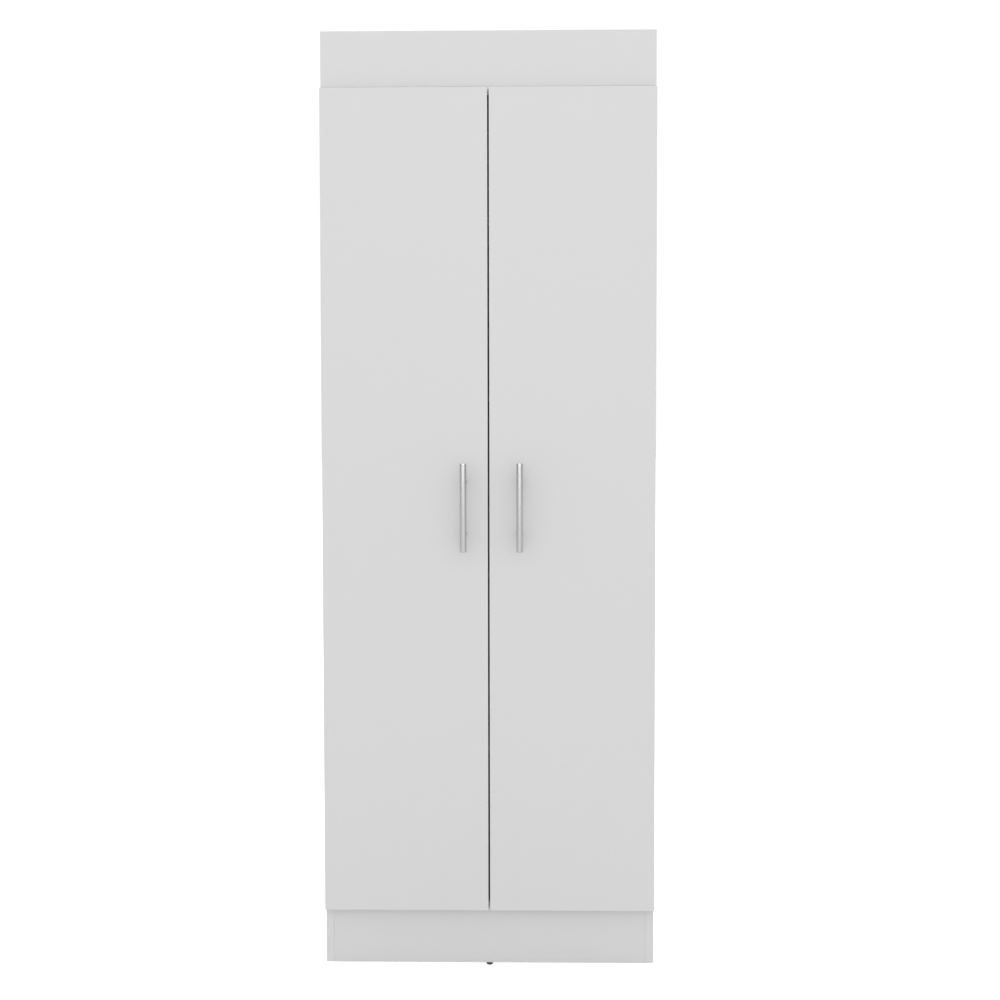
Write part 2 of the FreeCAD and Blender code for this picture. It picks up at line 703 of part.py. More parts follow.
ARM_LOW = "(board + plate_wall + arm_gap)"
ARM_HIGH = "(board + arm_height)"
NOSE = "hinge_eye_radius"
arm_body = doc.addObject("PartDesign::Body", "hinge_arm_channel")
profile = sketch_on(arm_body, "XY_Plane", "hinge_arm_profile")
(outer_x, outer_y), (inner_x, inner_y) = PINS["outer"][0], PINS["inner"][0]
polygon(profile, [
    (ARM_LOW, "arm_reach"), (ARM_LOW, "arm_start"), (f"{outer_x} - {NOSE}", outer_y),
    (outer_x, f"{outer_y} - {NOSE}"),
    (inner_x, f"{inner_y} - {NOSE}"), (f"{inner_x} + {NOSE}", inner_y), (ARM_HIGH, "arm_start"),
    (ARM_HIGH, "arm_reach"),
])
pad(arm_body, profile, "hinge_arm_width", "2 * arm_half_width", mid=True)
for pin_name, (arm_pin, cup_pin) in PINS.items():
    tip = sketch_on(arm_body, "XY_Plane", f"hinge_arm_{pin_name}_tip")
    circle(tip, arm_pin, NOSE)
    pad(arm_body, tip, f"hinge_arm_{pin_name}_tip_width", "2 * arm_half_width", mid=True)
hollow = sketch_on(arm_body, "XY_Plane", "hinge_arm_hollow")
polygon(hollow, [
    ("0", f"{outer_y} - 2 * {NOSE}"), (f"{inner_x} + 2 * {NOSE}", f"{outer_y} - 2 * {NOSE}"),
    (f"{inner_x} + 2 * {NOSE}", "arm_start"), (f"{ARM_HIGH} - arm_wall", "arm_start"),
    (f"{ARM_HIGH} - arm_wall", "arm_reach + arm_wall"), ("0", "arm_reach + arm_wall"),
])
pocket(arm_body, hollow, "hinge_arm_inside", "2 * (arm_half_width - arm_wall)", mid=True)

# Two inner plates carry the short pin of the outer link
clevis = doc.addObject("PartDesign::Body", "hinge_arm_clevis")
clevis_profile = sketch_on(clevis, "XY_Plane", "hinge_arm_clevis_profile")
polygon(clevis_profile, [
    (f"{ARM_HIGH} - arm_wall", "arm_start + clevis_root"), (f"{outer_x} - {NOSE}", outer_y),
    (f"{outer_x} + {NOSE}", outer_y), (ARM_HIGH, "arm_start"), (ARM_HIGH, "arm_start + clevis_root"),
])
pad(clevis, clevis_profile, "hinge_arm_clevis_width", "2 * clevis_outer", mid=True)
clevis_tip = sketch_on(clevis, "XY_Plane", "hinge_arm_clevis_tip")
circle(clevis_tip, (outer_x, outer_y), NOSE)
pad(clevis, clevis_tip, "hinge_arm_clevis_tip_width", "2 * clevis_outer", mid=True)
between = sketch_on(clevis, "XY_Plane", "hinge_arm_clevis_gap")
polygon(between, [
    ("0", f"{outer_y} - 2 * {NOSE}"), (f"{ARM_HIGH} + arm_height", f"{outer_y} - 2 * {NOSE}"),
    (f"{ARM_HIGH} + arm_height", "arm_start"), (f"{ARM_HIGH} - arm_wall", "arm_start"),
    (f"{ARM_HIGH} - arm_wall", "arm_reach"), ("0", "arm_reach"),
])
pocket(clevis, between, "hinge_arm_clevis_slot", "2 * clevis_inner", mid=True)

arm_holes = []
arm_pins = []
for arm_pin, half in ((PINS["outer"][0], "clevis_outer"), (PINS["inner"][0], "arm_half_width")):
    low = (*arm_pin, f"(-{half})")
    arm_holes.append(rod("arm_pin_hole", low, "+z", PIN_BORE, f"2 * {half}"))
    arm_pins.append(rod("arm_pin", low, "+z", "hinge_pin_radius", f"2 * {half}"))
arm_screw_places = []
for line in ("arm_fixing_setback", "arm_adjuster_setback"):
    seat = (ARM_HIGH, line, "0")
    arm_holes.append(
        rod("arm_screw_hole", seat, "-x", "arm_screw_radius + fastener_slack", "arm_screw + arm_wall"))
    plate_holes.append(arm_holes[-1])
    arm_screw_places.append((shift(seat, x="arm_screw_head"), "-x"))
hinge_arm = cut("hinge_arm", fuse("hinge_arm_blank", [arm_body, clevis]), arm_holes)
hinge_plate = cut("hinge_plate", fuse("hinge_plate_blank", plate_base), plate_holes)


def strap(body, name, start, end, radius, width, cut_away=False):
    """A flat bar between two points, centred on the hinge's middle, or the same shape cut away."""
    run = (f"({end[0]} - {start[0]})", f"({end[1]} - {start[1]})")
    length = f"sqrt({run[0]}^2 + {run[1]}^2)"
    off = (f"({radius} * {run[1]} / {length})", f"({radius} * {run[0]} / {length})")
    sides = sketch_on(body, "XY_Plane", f"{name}_sides")
    polygon(sides, [
        (f"{start[0]} - {off[0]}", f"{start[1]} + {off[1]}"),
        (f"{start[0]} + {off[0]}", f"{start[1]} - {off[1]}"),
        (f"{end[0]} + {off[0]}", f"{end[1]} - {off[1]}"),
        (f"{end[0]} - {off[0]}", f"{end[1]} + {off[1]}"),
    ])
    (pocket if cut_away else pad)(body, sides, f"{name}_bar", width, mid=True)


def disc(body, name, centre, radius, width):
    outline = sketch_on(body, "XY_Plane", f"{name}_circle")
    circle(outline, centre, radius)
    pad(body, outline, f"{name}_disc", width, mid=True)


def hinge_link(name, width):
    """A cranked link: a round eye on the arm's pin and an open fork astride the cup's pin."""
    arm_pin, cup_pin = PINS[name]
    knee = (f"{name}_knee_x", f"{name}_knee_y")
    reach = f"sqrt(({cup_pin[0]} - {arm_pin[0]})^2 + ({cup_pin[1]} - {arm_pin[1]})^2)"

    def on_line(distance):
        return tuple(f"({a} + ({c} - {a}) * {distance} / {reach})" for a, c in zip(arm_pin, cup_pin))

    near = on_line(f"{name}_fork_near")
    slot = f"(hinge_pin_radius + {name}_fork_slack)"
    body = doc.addObject("PartDesign::Body", f"{name}_link")
    strap(body, f"{name}_link_shank", arm_pin, knee, "link_half_thickness", width)
    strap(body, f"{name}_link_neck", knee, near, "link_half_thickness", width)
    head_end = on_line(f"({name}_fork_far + fork_overrun)")
    slot_end = on_line(f"({name}_fork_far + 2 * hinge_pin_radius)")
    strap(body, f"{name}_link_head", near, head_end, f"({slot} + fork_wall)", width)
    disc(body, f"{name}_link_eye", arm_pin, "hinge_eye_radius", width)
    disc(body, f"{name}_link_knee", knee, "link_half_thickness", width)
    disc(body, f"{name}_link_fork", near, f"({slot} + fork_wall)", width)
    strap(body, f"{name}_link_slot", near, slot_end, slot, width, True)
    holes = [
        rod(f"{name}_link_eye_hole", (*arm_pin, f"(-{width})"), "+z", PIN_BORE, f"2 * {width}"),
        rod(f"{name}_link_slot_end", (*near, f"(-{width})"), "+z", slot, f"2 * {width}"),
    ]
    return cut(f"{name}_link_bored", body, holes)


outer_link = hinge_link("outer", "(2 * outer_link_half_width)")
inner_link_blank = hinge_link("inner", "(2 * inner_link_outer)")
inner_gap = block(
    "inner_link_gap", ("0", "outer_arm_pin_y - arm_height", "-inner_link_inner"),
    ("inner_arm_pin_x + arm_height", "3 * arm_height", "2 * inner_link_inner"),
)
inner_link = cut("inner_link_cheeks", inner_link_blank, [inner_gap])

cup_screw = screw("cup_screw", "screw_radius", "cup_screw", "screw_head_radius", "screw_head")
plate_screw = screw(
    "plate_screw", "plate_screw_radius", "plate_screw", "plate_screw_head_radius", "screw_head")
arm_screw = screw("arm_screw", "arm_screw_radius", "arm_screw", "arm_screw_head_radius", "arm_screw_head")
pins_in_cup = doc.addObject("Part::Compound", "pins_in_cup")
pins_in_cup.Links = cup_pins
pins_in_arm = doc.addObject("Part::Compound", "pins_in_arm")
pins_in_arm.Links = arm_pins
screws_in_cup = group("screws_in_cup", cup_screw, cup_screw_places)
screws_in_plate = group("screws_in_plate", plate_screw, plate_screw_places)
screws_in_arm = group("screws_in_arm", arm_screw, arm_screw_places)

HINGES = {
    "lower": f"({DOOR_BOTTOM} + hinge_end_inset)",
    "middle": f"(({DOOR_BOTTOM} + {DOOR_TOP}) / 2)",
    "upper": f"({DOOR_TOP} - hinge_end_inset)",
}
all_spots = []
for side, sign, aim in (("left", "-", "+z"), ("right", "+", "turned about y")):
    inward = "+x" if side == "left" else "-x"
    spots = []
    for level, height in HINGES.items():
        spot = (f"({sign}{HALF})", FRONT, height)
        spots.append((spot, aim))
        copies(f"hinge_cup_{side}_{level}", hinge_cup, [(spot, aim)])
        copies(f"hinge_arm_{side}_{level}", hinge_arm, [(spot, aim)])
        bore([f"door_{side}"], shift(along(spot, inward, CUP_X), y=CUP_FACE), "-y", "cup_bore_radius",
             "cup_bore_depth")
        for step in ("-", "+"):
            ear = shift(along(spot, inward, EAR_X), y=CUP_FACE, z=f"{step} cup_screw_pitch / 2")
            bore([f"door_{side}"], ear, "-y", "screw_radius + fastener_slack",
                 "cup_screw - flange + fastener_slack")
            seat = shift(
                along(spot, inward, "board"), y="plate_screw_setback", z=f"{step} plate_screw_pitch / 2")
            bore([f"side_panel_{side}"], seat, back(inward), "plate_screw_radius + fastener_slack",
                 "plate_screw - plate_wall + fastener_slack")
    all_spots += spots
    copies(f"hinge_plates_{side}", hinge_plate, spots)
    copies(f"outer_links_{side}", outer_link, spots)
    copies(f"inner_links_{side}", inner_link, spots)
    copies(f"cup_pins_{side}", pins_in_cup, spots)
    copies(f"cup_screws_{side}", screws_in_cup, spots)
copies("arm_pins", pins_in_arm, all_spots)
copies("plate_screws", screws_in_plate, all_spots)
copies("arm_screws", screws_in_arm, all_spots)

# ---- Handles and door bumpers -----------------------------------------------------------------

BAR_LINE = "(handle_projection - bar_radius)"
bar = turned("handle_bar", [
    ("0", "0"), ("bar_radius - bar_chamfer", "0"), ("bar_radius", "bar_chamfer"),
    ("bar_radius", "bar_length - bar_chamfer"), ("bar_radius - bar_chamfer", "bar_length"),
    ("0", "bar_length"),
])
post_blank = turned("handle_post_blank", [
    ("0", "0"), ("post_foot_radius", "0"), ("post_foot_radius", "post_foot"), ("post_radius", "post_foot"),
    ("post_radius", BAR_LINE), ("0", BAR_LINE),
])
post = cut("handle_post", post_blank, [
    rod("post_saddle", ("0", "-2 * post_radius", BAR_LINE), "+y", "bar_radius + post_saddle_gap",
        "4 * post_radius"),
    rod("post_bore", ("0", "0", "0"), "+z", "handle_screw_radius + fastener_slack", "post_bore_depth"),
])
handle_screw = screw(
    "handle_screw", "handle_screw_radius", "door_board + handle_screw_reach", "handle_screw_head_radius",
    "handle_screw_head",
)
bumper = turned("door_bumper", [
    ("0", "0"), ("bumper_radius", "0"), ("bumper_radius", "door_standoff - bumper_gap - bumper_crown"),
    ("bumper_radius - bumper_crown", "door_standoff - bumper_gap"), ("0", "door_standoff - bumper_gap"),
])

HANDLE_Z = f"({DOOR_BOTTOM} + handle_rise)"
for side, sign in (("left", "-"), ("right", "+")):
    handle_x = f"({sign}(centre_gap / 2 + {side}_handle_inset))"
    put_bar = (handle_x, f"({DOOR_FACE} - {BAR_LINE})", f"({HANDLE_Z} - bar_length / 2)")
    copies(f"handle_bar_{side}", bar, [(put_bar, "+z")])
    feet = [(handle_x, DOOR_FACE, f"({HANDLE_Z} {step} post_pitch / 2)") for step in ("-", "+")]
    copies(f"handle_posts_{side}", post, [(foot, "-y") for foot in feet])
    heads = [along(foot, "+y", "(door_board + handle_screw_head)") for foot in feet]
    copies(f"handle_screws_{side}", handle_screw, [(head, "-y") for head in heads])
    for foot in feet:
        bore([f"door_{side}"], foot, "+y", "handle_screw_radius + fastener_slack", "door_board")
    stop_x = f"({sign}(centre_gap / 2 + bumper_edge))"
    stops = [
        (stop_x, DOOR_INNER, f"({FLOOR} - bumper_margin - bumper_radius)"),
        (stop_x, DOOR_INNER, f"({CEILING} + bumper_margin + bumper_radius)"),
    ]
    copies(f"door_bumpers_{side}", bumper, [(stop, "+y") for stop in stops])

# ---- Boards, with every bore that the fixings above have asked for ------------------------------

BOARD_DEPTH = f"({REAR_EDGE} - {FRONT})"
SIDE_HEIGHT = "(carcass_height - board)"
board("side_panel_left", (f"(-{HALF})", FRONT, BASE), ("board", BOARD_DEPTH, SIDE_HEIGHT))
board("side_panel_right", (INNER, FRONT, BASE), ("board", BOARD_DEPTH, SIDE_HEIGHT))
board("top_panel", (f"(-{HALF})", FRONT, CEILING), ("cabinet_width", BOARD_DEPTH, "board"))
board("bottom_panel", (f"(-{INNER})", FRONT, PLINTH_TOP), (f"2 * {INNER}", BOARD_DEPTH, "board"))
board("header_panel", (f"(-{HALF})", FRONT, TOP), ("cabinet_width", "board", "header_height"))
board("plinth_front", (f"(-{INNER})", FRONT, BASE), (f"2 * {INNER}", "board", "plinth_height"))
board("plinth_rear", (f"(-{INNER})", f"({REAR_EDGE} - board)", BASE),
      (f"2 * {INNER}", "board", "plinth_height"))
for step, low in enumerate(shelf_lows, start=1):
    board(
        f"shelf_{step}", (f"(-{INNER} + shelf_side_slack)", f"({FRONT} + shelf_setback)", low),
        (f"2 * ({INNER} - shelf_side_slack)", f"{BOARD_DEPTH} - shelf_setback - shelf_back_slack", "board"),
    )
BACK_WIDTH = f"2 * ({HALF} - back_inset)"
for panel, low, high in (
    ("back_panel_lower", BACK_LOW, f"({SEAM} - {SEAM_GAP})"),
    ("back_panel_upper", f"({SEAM} + {SEAM_GAP})", BACK_HIGH),
):
    board(panel, (f"(-{HALF} + back_inset)", REAR_EDGE, low), (BACK_WIDTH, "back_board", f"{high} - {low}"))
board("door_left", (f"(-{HALF})", DOOR_FACE, DOOR_BOTTOM), (DOOR_WIDTH, "door_board", DOOR_HEIGHT))
board("door_right", ("centre_gap / 2", DOOR_FACE, DOOR_BOTTOM), (DOOR_WIDTH, "door_board", DOOR_HEIGHT))

# ---- Checks and export --------------------------------------------------------------------------

doc.recompute()
for thing in doc.Objects:
    if "Invalid" in thing.State or "Error" in thing.State:
        raise RuntimeError(f"{thing.Label} failed: {thing.State}")
    base = getattr(thing, "BaseFeature", None)
    if thing.TypeId == "PartDesign::Pocket" and thing.Shape.Volume >= base.Shape.Volume:
        raise RuntimeError(f"{thing.Label} cuts nothing")

os.makedirs("parts", exist_ok=True)
for thing in nodes:
    shape = thing.Shape
    if shape.isNull() or not shape.isValid() or shape.Volume <= 0 or not shape.Solids:
        raise RuntimeError(f"{thing.Label} has no sound solid")
    shape.exportStep(f"parts/{thing.Label}.step")
print(f"{len(nodes)} nodes, {sum(len(thing.Shape.Solids) for thing in nodes)} solids")
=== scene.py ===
import json
import math

import bmesh
import bpy
from mathutils import Matrix, Vector


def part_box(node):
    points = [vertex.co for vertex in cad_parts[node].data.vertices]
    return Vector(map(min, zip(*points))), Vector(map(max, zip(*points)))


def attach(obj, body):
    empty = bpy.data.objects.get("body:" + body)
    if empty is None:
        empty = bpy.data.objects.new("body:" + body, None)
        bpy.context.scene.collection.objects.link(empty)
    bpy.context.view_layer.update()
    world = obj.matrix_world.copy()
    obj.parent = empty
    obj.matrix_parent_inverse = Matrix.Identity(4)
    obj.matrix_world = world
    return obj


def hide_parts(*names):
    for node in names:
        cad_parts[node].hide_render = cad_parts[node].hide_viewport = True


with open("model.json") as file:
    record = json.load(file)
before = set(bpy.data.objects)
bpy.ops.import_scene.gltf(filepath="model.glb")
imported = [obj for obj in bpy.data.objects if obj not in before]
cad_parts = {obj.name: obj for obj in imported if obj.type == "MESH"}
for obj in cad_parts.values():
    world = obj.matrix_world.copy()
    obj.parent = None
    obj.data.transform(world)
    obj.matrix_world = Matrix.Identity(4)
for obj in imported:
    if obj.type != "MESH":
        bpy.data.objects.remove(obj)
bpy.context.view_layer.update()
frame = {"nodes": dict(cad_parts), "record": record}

bl_info = {
    "name": "Pantry cabinet",
    "version": (1, 0, 0),
    "blender": (4, 5, 0),
    "location": "3D View > Sidebar > Pantry cabinet",
    "description": "Finishes the boards, hinges, handles and fixings of a two-door pantry cabinet",
    "category": "Object",
}

BODY_OF = {node: body for body, nodes in frame["record"]["behaviour"]["bodies"].items() for node in nodes}
SIDES = ("left", "right")
LEVELS = ("lower", "middle", "upper")
MM = 0.001

WELD = 0.002 * MM  # closer points of a CAD node are one point
ON_WALL = 0.01 * MM  # how near a point lies to a board's outer wall to be on it
FLAT_ANGLE = math.radians(0.5)  # faces that meet within this are one flat face
CORNER_ANGLE = math.radians(32)  # edges sharper than this are rounded
PART_SMOOTH = math.radians(35)
REPEAT_SMOOTH = math.radians(38)
FLAT_FACE_WEIGHT = 100
LINK_CLEARANCE = 0.09 * MM  # room between an outer link and its cup


# ---- Settings ---------------------------------------------------------------------------------


def length(name, description, default):
    return bpy.props.FloatProperty(
        name=name, description=description, default=default, min=0.0, unit="LENGTH")


def strength(name, description, default):
    return bpy.props.FloatProperty(name=name, description=description, default=default, min=0.0)


def colour(name, description, default):
    return bpy.props.FloatVectorProperty(
        name=name, description=description, default=default, size=3, min=0.0, max=1.0, subtype="COLOR")


class CabinetSizes(bpy.types.PropertyGroup):
    board_arris: length("Board arris", "Rounding along the edges of the boards", 0.45 * MM)
    hardboard_arris: length("Hardboard arris", "Rounding along the edges of the back panels", 0.25 * MM)
    steel_round: length("Steel round", "Rounding along the edges of the pressed steel parts", 0.22 * MM)
    bar_round: length("Bar round", "Rounding at the ends of the handle bars", 0.35 * MM)
    thread_pitch: length("Thread pitch", "Distance between the threads of a screw", 1.4 * MM)
    recess_width: length("Recess width", "Width of one arm of a screw's cross recess", 0.9 * MM)
    sides: bpy.props.IntProperty(name="Sides", description="Facets round a turned part", default=28, min=8)


class CabinetColours(bpy.types.PropertyGroup):
    melamine: colour("Melamine", "White facing of the boards", (0.668, 0.668, 0.669))
    edge_band: colour("Edge band", "Plastic strip on the boards' edges", (0.675, 0.675, 0.676))
    chip_light: colour("Chipboard light", "Pale flakes of the board's core", (0.62, 0.47, 0.30))
    chip_dark: colour("Chipboard dark", "Dark flakes of the board's core", (0.36, 0.24, 0.13))
    hardboard: colour("Hardboard", "Bare rear face of the back panels", (0.33, 0.20, 0.11))
    white_plastic: colour("White plastic", "Joiner strip", (0.70, 0.70, 0.70))
    dark_plastic: colour("Dark plastic", "Floor glides", (0.05, 0.05, 0.054))
    rubber: colour("Rubber", "Door bumpers", (0.62, 0.64, 0.66))
    steel: colour("Steel", "Handle bars and posts", (0.60, 0.60, 0.602))
    nickel: colour("Nickel", "Hinges", (0.66, 0.64, 0.61))
    zinc: colour("Zinc", "Screws, nails and bracket", (0.58, 0.60, 0.63))
    cast_zinc: colour("Cast zinc", "Cam locks", (0.46, 0.46, 0.47))
    beech: colour("Beech", "Dowels", (0.62, 0.42, 0.24))


class CabinetStage(bpy.types.PropertyGroup):
    lens: bpy.props.FloatProperty(
        name="Lens", description="Focal length on a 36 mm sensor", default=55.0, min=1.0)
    camera_across: length("Camera across", "How far the camera stands to the right of the middle", 0.0740)
    camera_back: length("Camera back", "How far the camera stands in front of the carcass", 2.7574)
    camera_height: length("Camera height", "Height of the camera over the underside of the sides", 0.9873)
    yaw: bpy.props.FloatProperty(
        name="Yaw", description="Turn of the camera to the left", default=math.radians(1.118),
        subtype="ANGLE")
    pitch: bpy.props.FloatProperty(
        name="Pitch", description="Dip of the camera", default=math.radians(2.859), subtype="ANGLE")
    roll: bpy.props.FloatProperty(
        name="Roll", description="Roll of the camera", default=math.radians(-0.081), subtype="ANGLE")
    sky: strength("Sky", "Strength of the white surround", 1.04)
    front_wall: strength("Front wall", "Strength of the wall behind the camera in reflections", 2.3)
    side_walls: strength("Side walls", "Strength of the side walls in reflections", 0.04)
    front_light: strength("Front light", "Power of the softbox by the camera, in watts", 3.0)
    top_light: strength("Top light", "Power of the softbox over the cabinet, in watts", 12.0)
    floor_white: strength("Floor white", "How much light the floor gives back", 0.82)


# ---- Materials ----------------------------------------------------------------------------------


def new_group(name, inputs, outputs):
    """A shader node group with named sockets: (tree, input node, output node)."""
    tree = bpy.data.node_groups.new(name, "ShaderNodeTree")
    for socket, kind, value in inputs:
        made = tree.interface.new_socket(socket, in_out="INPUT", socket_type=kind)
        made.default_value = value
    for socket, kind in outputs:
        tree.interface.new_socket(socket, in_out="OUTPUT", socket_type=kind)
    return tree, tree.nodes.new("NodeGroupInput"), tree.nodes.new("NodeGroupOutput")


def set_values(node, values):
    for socket, value in values.items():
        node.inputs[socket].default_value = value
    return node


def speckle_group():
    """Fine unevenness of a moulded, pressed or coated surface: a varied colour, roughness and height."""
    tree, given, out = new_group(
        "fine_surface",
        [("Colour", "NodeSocketColor", (0.8, 0.8, 0.8, 1.0)), ("Variation", "NodeSocketFloat", 0.02),
         ("Roughness", "NodeSocketFloat", 0.4), ("Roughness Spread", "NodeSocketFloat", 0.05),
         ("Fine Scale", "NodeSocketFloat", 900.0), ("Broad Scale", "NodeSocketFloat", 5.0)],
        [("Colour", "NodeSocketColor"), ("Roughness", "NodeSocketFloat"), ("Height", "NodeSocketFloat")])
    nodes, links = tree.nodes, tree.links
    place = nodes.new("ShaderNodeTexCoord")
    fine = set_values(nodes.new("ShaderNodeTexNoise"), {"Detail": 3.0, "Roughness": 0.55})
    broad = set_values(nodes.new("ShaderNodeTexNoise"), {"Detail": 4.0, "Roughness": 0.6})
    for noise, scale in ((fine, "Fine Scale"), (broad, "Broad Scale")):
        links.new(place.outputs["Object"], noise.inputs["Vector"])
        links.new(given.outputs[scale], noise.inputs["Scale"])
    shade = nodes.new("ShaderNodeMath")
    shade.operation = "MULTIPLY_ADD"
    centred = nodes.new("ShaderNodeMath")
    centred.operation = "SUBTRACT"
    centred.inputs[1].default_value = 0.5
    links.new(broad.outputs["Fac"], centred.inputs[0])
    links.new(centred.outputs[0], shade.inputs[0])
    links.new(given.outputs["Variation"], shade.inputs[1])
    shade.inputs[2].default_value = 1.0
    tint = nodes.new("ShaderNodeVectorMath")
    tint.operation = "SCALE"
    links.new(given.outputs["Colour"], tint.inputs[0])
    links.new(shade.outputs[0], tint.inputs["Scale"])
    links.new(tint.outputs[0], out.inputs["Colour"])
    rough = nodes.new("ShaderNodeMath")
    rough.operation = "MULTIPLY_ADD"
    links.new(centred.outputs[0], rough.inputs[0])
    links.new(given.outputs["Roughness Spread"], rough.inputs[1])
    links.new(given.outputs["Roughness"], rough.inputs[2])
    links.new(rough.outputs[0], out.inputs["Roughness"])
    links.new(fine.outputs["Fac"], out.inputs["Height"])
    return tree


def brushing_group():
    """Long fine scratches along one axis: a mask around a half and a height."""
    tree, given, out = new_group(
        "brushing",
        [("Across", "NodeSocketFloat", 3000.0), ("Along", "NodeSocketFloat", 25.0)],
        [("Mask", "NodeSocketFloat"), ("Height", "NodeSocketFloat")])
    nodes, links = tree.nodes, tree.links
    place = nodes.new("ShaderNodeTexCoord")
    stretch = nodes.new("ShaderNodeCombineXYZ")
    scaled = nodes.new("ShaderNodeVectorMath")
    scaled.operation = "MULTIPLY"
    for axis, source in (("X", "Across"), ("Y", "Across"), ("Z", "Along")):
        links.new(given.outputs[source], stretch.inputs[axis])
    links.new(place.outputs["Object"], scaled.inputs[0])
    links.new(stretch.outputs[0], scaled.inputs[1])
    lines = set_values(nodes.new("ShaderNodeTexNoise"), {"Scale": 1.0, "Detail": 4.0, "Roughness": 0.7})
    links.new(scaled.outputs[0], lines.inputs["Vector"])
    links.new(lines.outputs["Fac"], out.inputs["Mask"])
    links.new(lines.outputs["Fac"], out.inputs["Height"])
    return tree


class Finish:
    """One material under construction: its nodes, its shader and the bump that feeds the normal."""

    def __init__(self, name, bump_distance=0.00002, bump_strength=0.2, **constants):
        self.material = bpy.data.materials.new(name)
        self.material.use_nodes = True
        self.nodes = self.material.node_tree.nodes
        self.links = self.material.node_tree.links
        self.shader = self.nodes["Principled BSDF"]
        set_values(self.shader, constants)
        self.bump = set_values(
            self.nodes.new("ShaderNodeBump"), {"Distance": bump_distance, "Strength": bump_strength})
        self.links.new(self.bump.outputs["Normal"], self.shader.inputs["Normal"])

    def group(self, tree, **values):
        node = self.nodes.new("ShaderNodeGroup")
        node.node_tree = tree
        return set_values(node, {key.replace("_", " "): value for key, value in values.items()})

    def surface(self, tree, colour_value, **values):
        """Colour, roughness and height from the fine surface group."""
        node = self.group(tree, Colour=(*colour_value, 1.0), **values)
        self.links.new(node.outputs["Colour"], self.shader.inputs["Base Color"])
        self.links.new(node.outputs["Roughness"], self.shader.inputs["Roughness"])
        self.links.new(node.outputs["Height"], self.bump.inputs["Height"])
        return node

    def texture(self, kind, **values):
        node = set_values(self.nodes.new(kind), values)
        place = self.nodes.new("ShaderNodeTexCoord")
        self.links.new(place.outputs["Object"], node.inputs["Vector"])
        return node

    def ramp(self, source, stops):
        node = self.nodes.new("ShaderNodeValToRGB")
        for element, (position, value) in zip(node.color_ramp.elements, stops):
            element.position = position
            element.color = (*value, 1.0)
        self.links.new(source, node.inputs["Fac"])
        return node


def chipboard(name, light, dark):
    """Pressed wood flakes, as bare edges and bores show them."""
    finish = Finish(name, bump_distance=0.0004, bump_strength=0.6, Roughness=0.85)
    flakes = finish.texture("ShaderNodeTexVoronoi", Scale=420.0, Randomness=1.0)
    shade = finish.ramp(flakes.outputs["Color"], [(0.15, dark), (0.85, light)])
    finish.links.new(shade.outputs["Color"], finish.shader.inputs["Base Color"])
    finish.links.new(flakes.outputs["Distance"], finish.bump.inputs["Height"])
    return finish.material


def hardboard_back(name, base):
    """The screen side of hardboard: brown fibre with the press cloth's fine weave."""
    finish = Finish(name, bump_distance=0.0002, bump_strength=0.5, Roughness=0.8)
    fibres = finish.texture("ShaderNodeTexNoise", Scale=160.0, Detail=6.0, Roughness=0.7)
    darker = tuple(value * 0.72 for value in base)
    shade = finish.ramp(fibres.outputs["Fac"], [(0.3, darker), (0.72, base)])
    finish.links.new(shade.outputs["Color"], finish.shader.inputs["Base Color"])
    weave = []
    for direction in ("X", "Z"):
        wave = finish.texture("ShaderNodeTexWave", Scale=260.0, Distortion=0.4)
        wave.bands_direction = direction
        weave.append(wave)
    cloth = finish.nodes.new("ShaderNodeMath")
    cloth.operation = "MULTIPLY"
    finish.links.new(weave[0].outputs["Fac"], cloth.inputs[0])
    finish.links.new(weave[1].outputs["Fac"], cloth.inputs[1])
    finish.links.new(cloth.outputs[0], finish.bump.inputs["Height"])
    return finish.material


def brushed_steel(name, groups, base):
    """Satin steel, ground along the bar: duller and darker in the scratches."""
    finish = Finish(name, bump_distance=0.00001, bump_strength=0.15, Metallic=1.0)
    lines = finish.group(groups["brushing"])
    shade = finish.ramp(lines.outputs["Mask"], [(0.25, tuple(v * 0.86 for v in base)), (0.75, base)])
    rough = finish.nodes.new("ShaderNodeMath")
    rough.operation = "MULTIPLY_ADD"
    rough.inputs[1].default_value = 0.08
    rough.inputs[2].default_value = 0.09
    finish.links.new(lines.outputs["Mask"], rough.inputs[0])
    finish.links.new(rough.outputs[0], finish.shader.inputs["Roughness"])
    finish.links.new(shade.outputs["Color"], finish.shader.inputs["Base Color"])
    finish.links.new(lines.outputs["Height"], finish.bump.inputs["Height"])
    return finish.material


def beech(name, base):
    finish = Finish(name, bump_distance=0.0001, bump_strength=0.4, Roughness=0.6)
    grain = finish.texture("ShaderNodeTexWave", Scale=180.0, Distortion=3.0, Detail=3.0)
    shade = finish.ramp(grain.outputs["Fac"], [(0.1, tuple(v * 0.78 for v in base)), (0.8, base)])
    finish.links.new(shade.outputs["Color"], finish.shader.inputs["Base Color"])
    finish.links.new(grain.outputs["Fac"], finish.bump.inputs["Height"])
    return finish.material


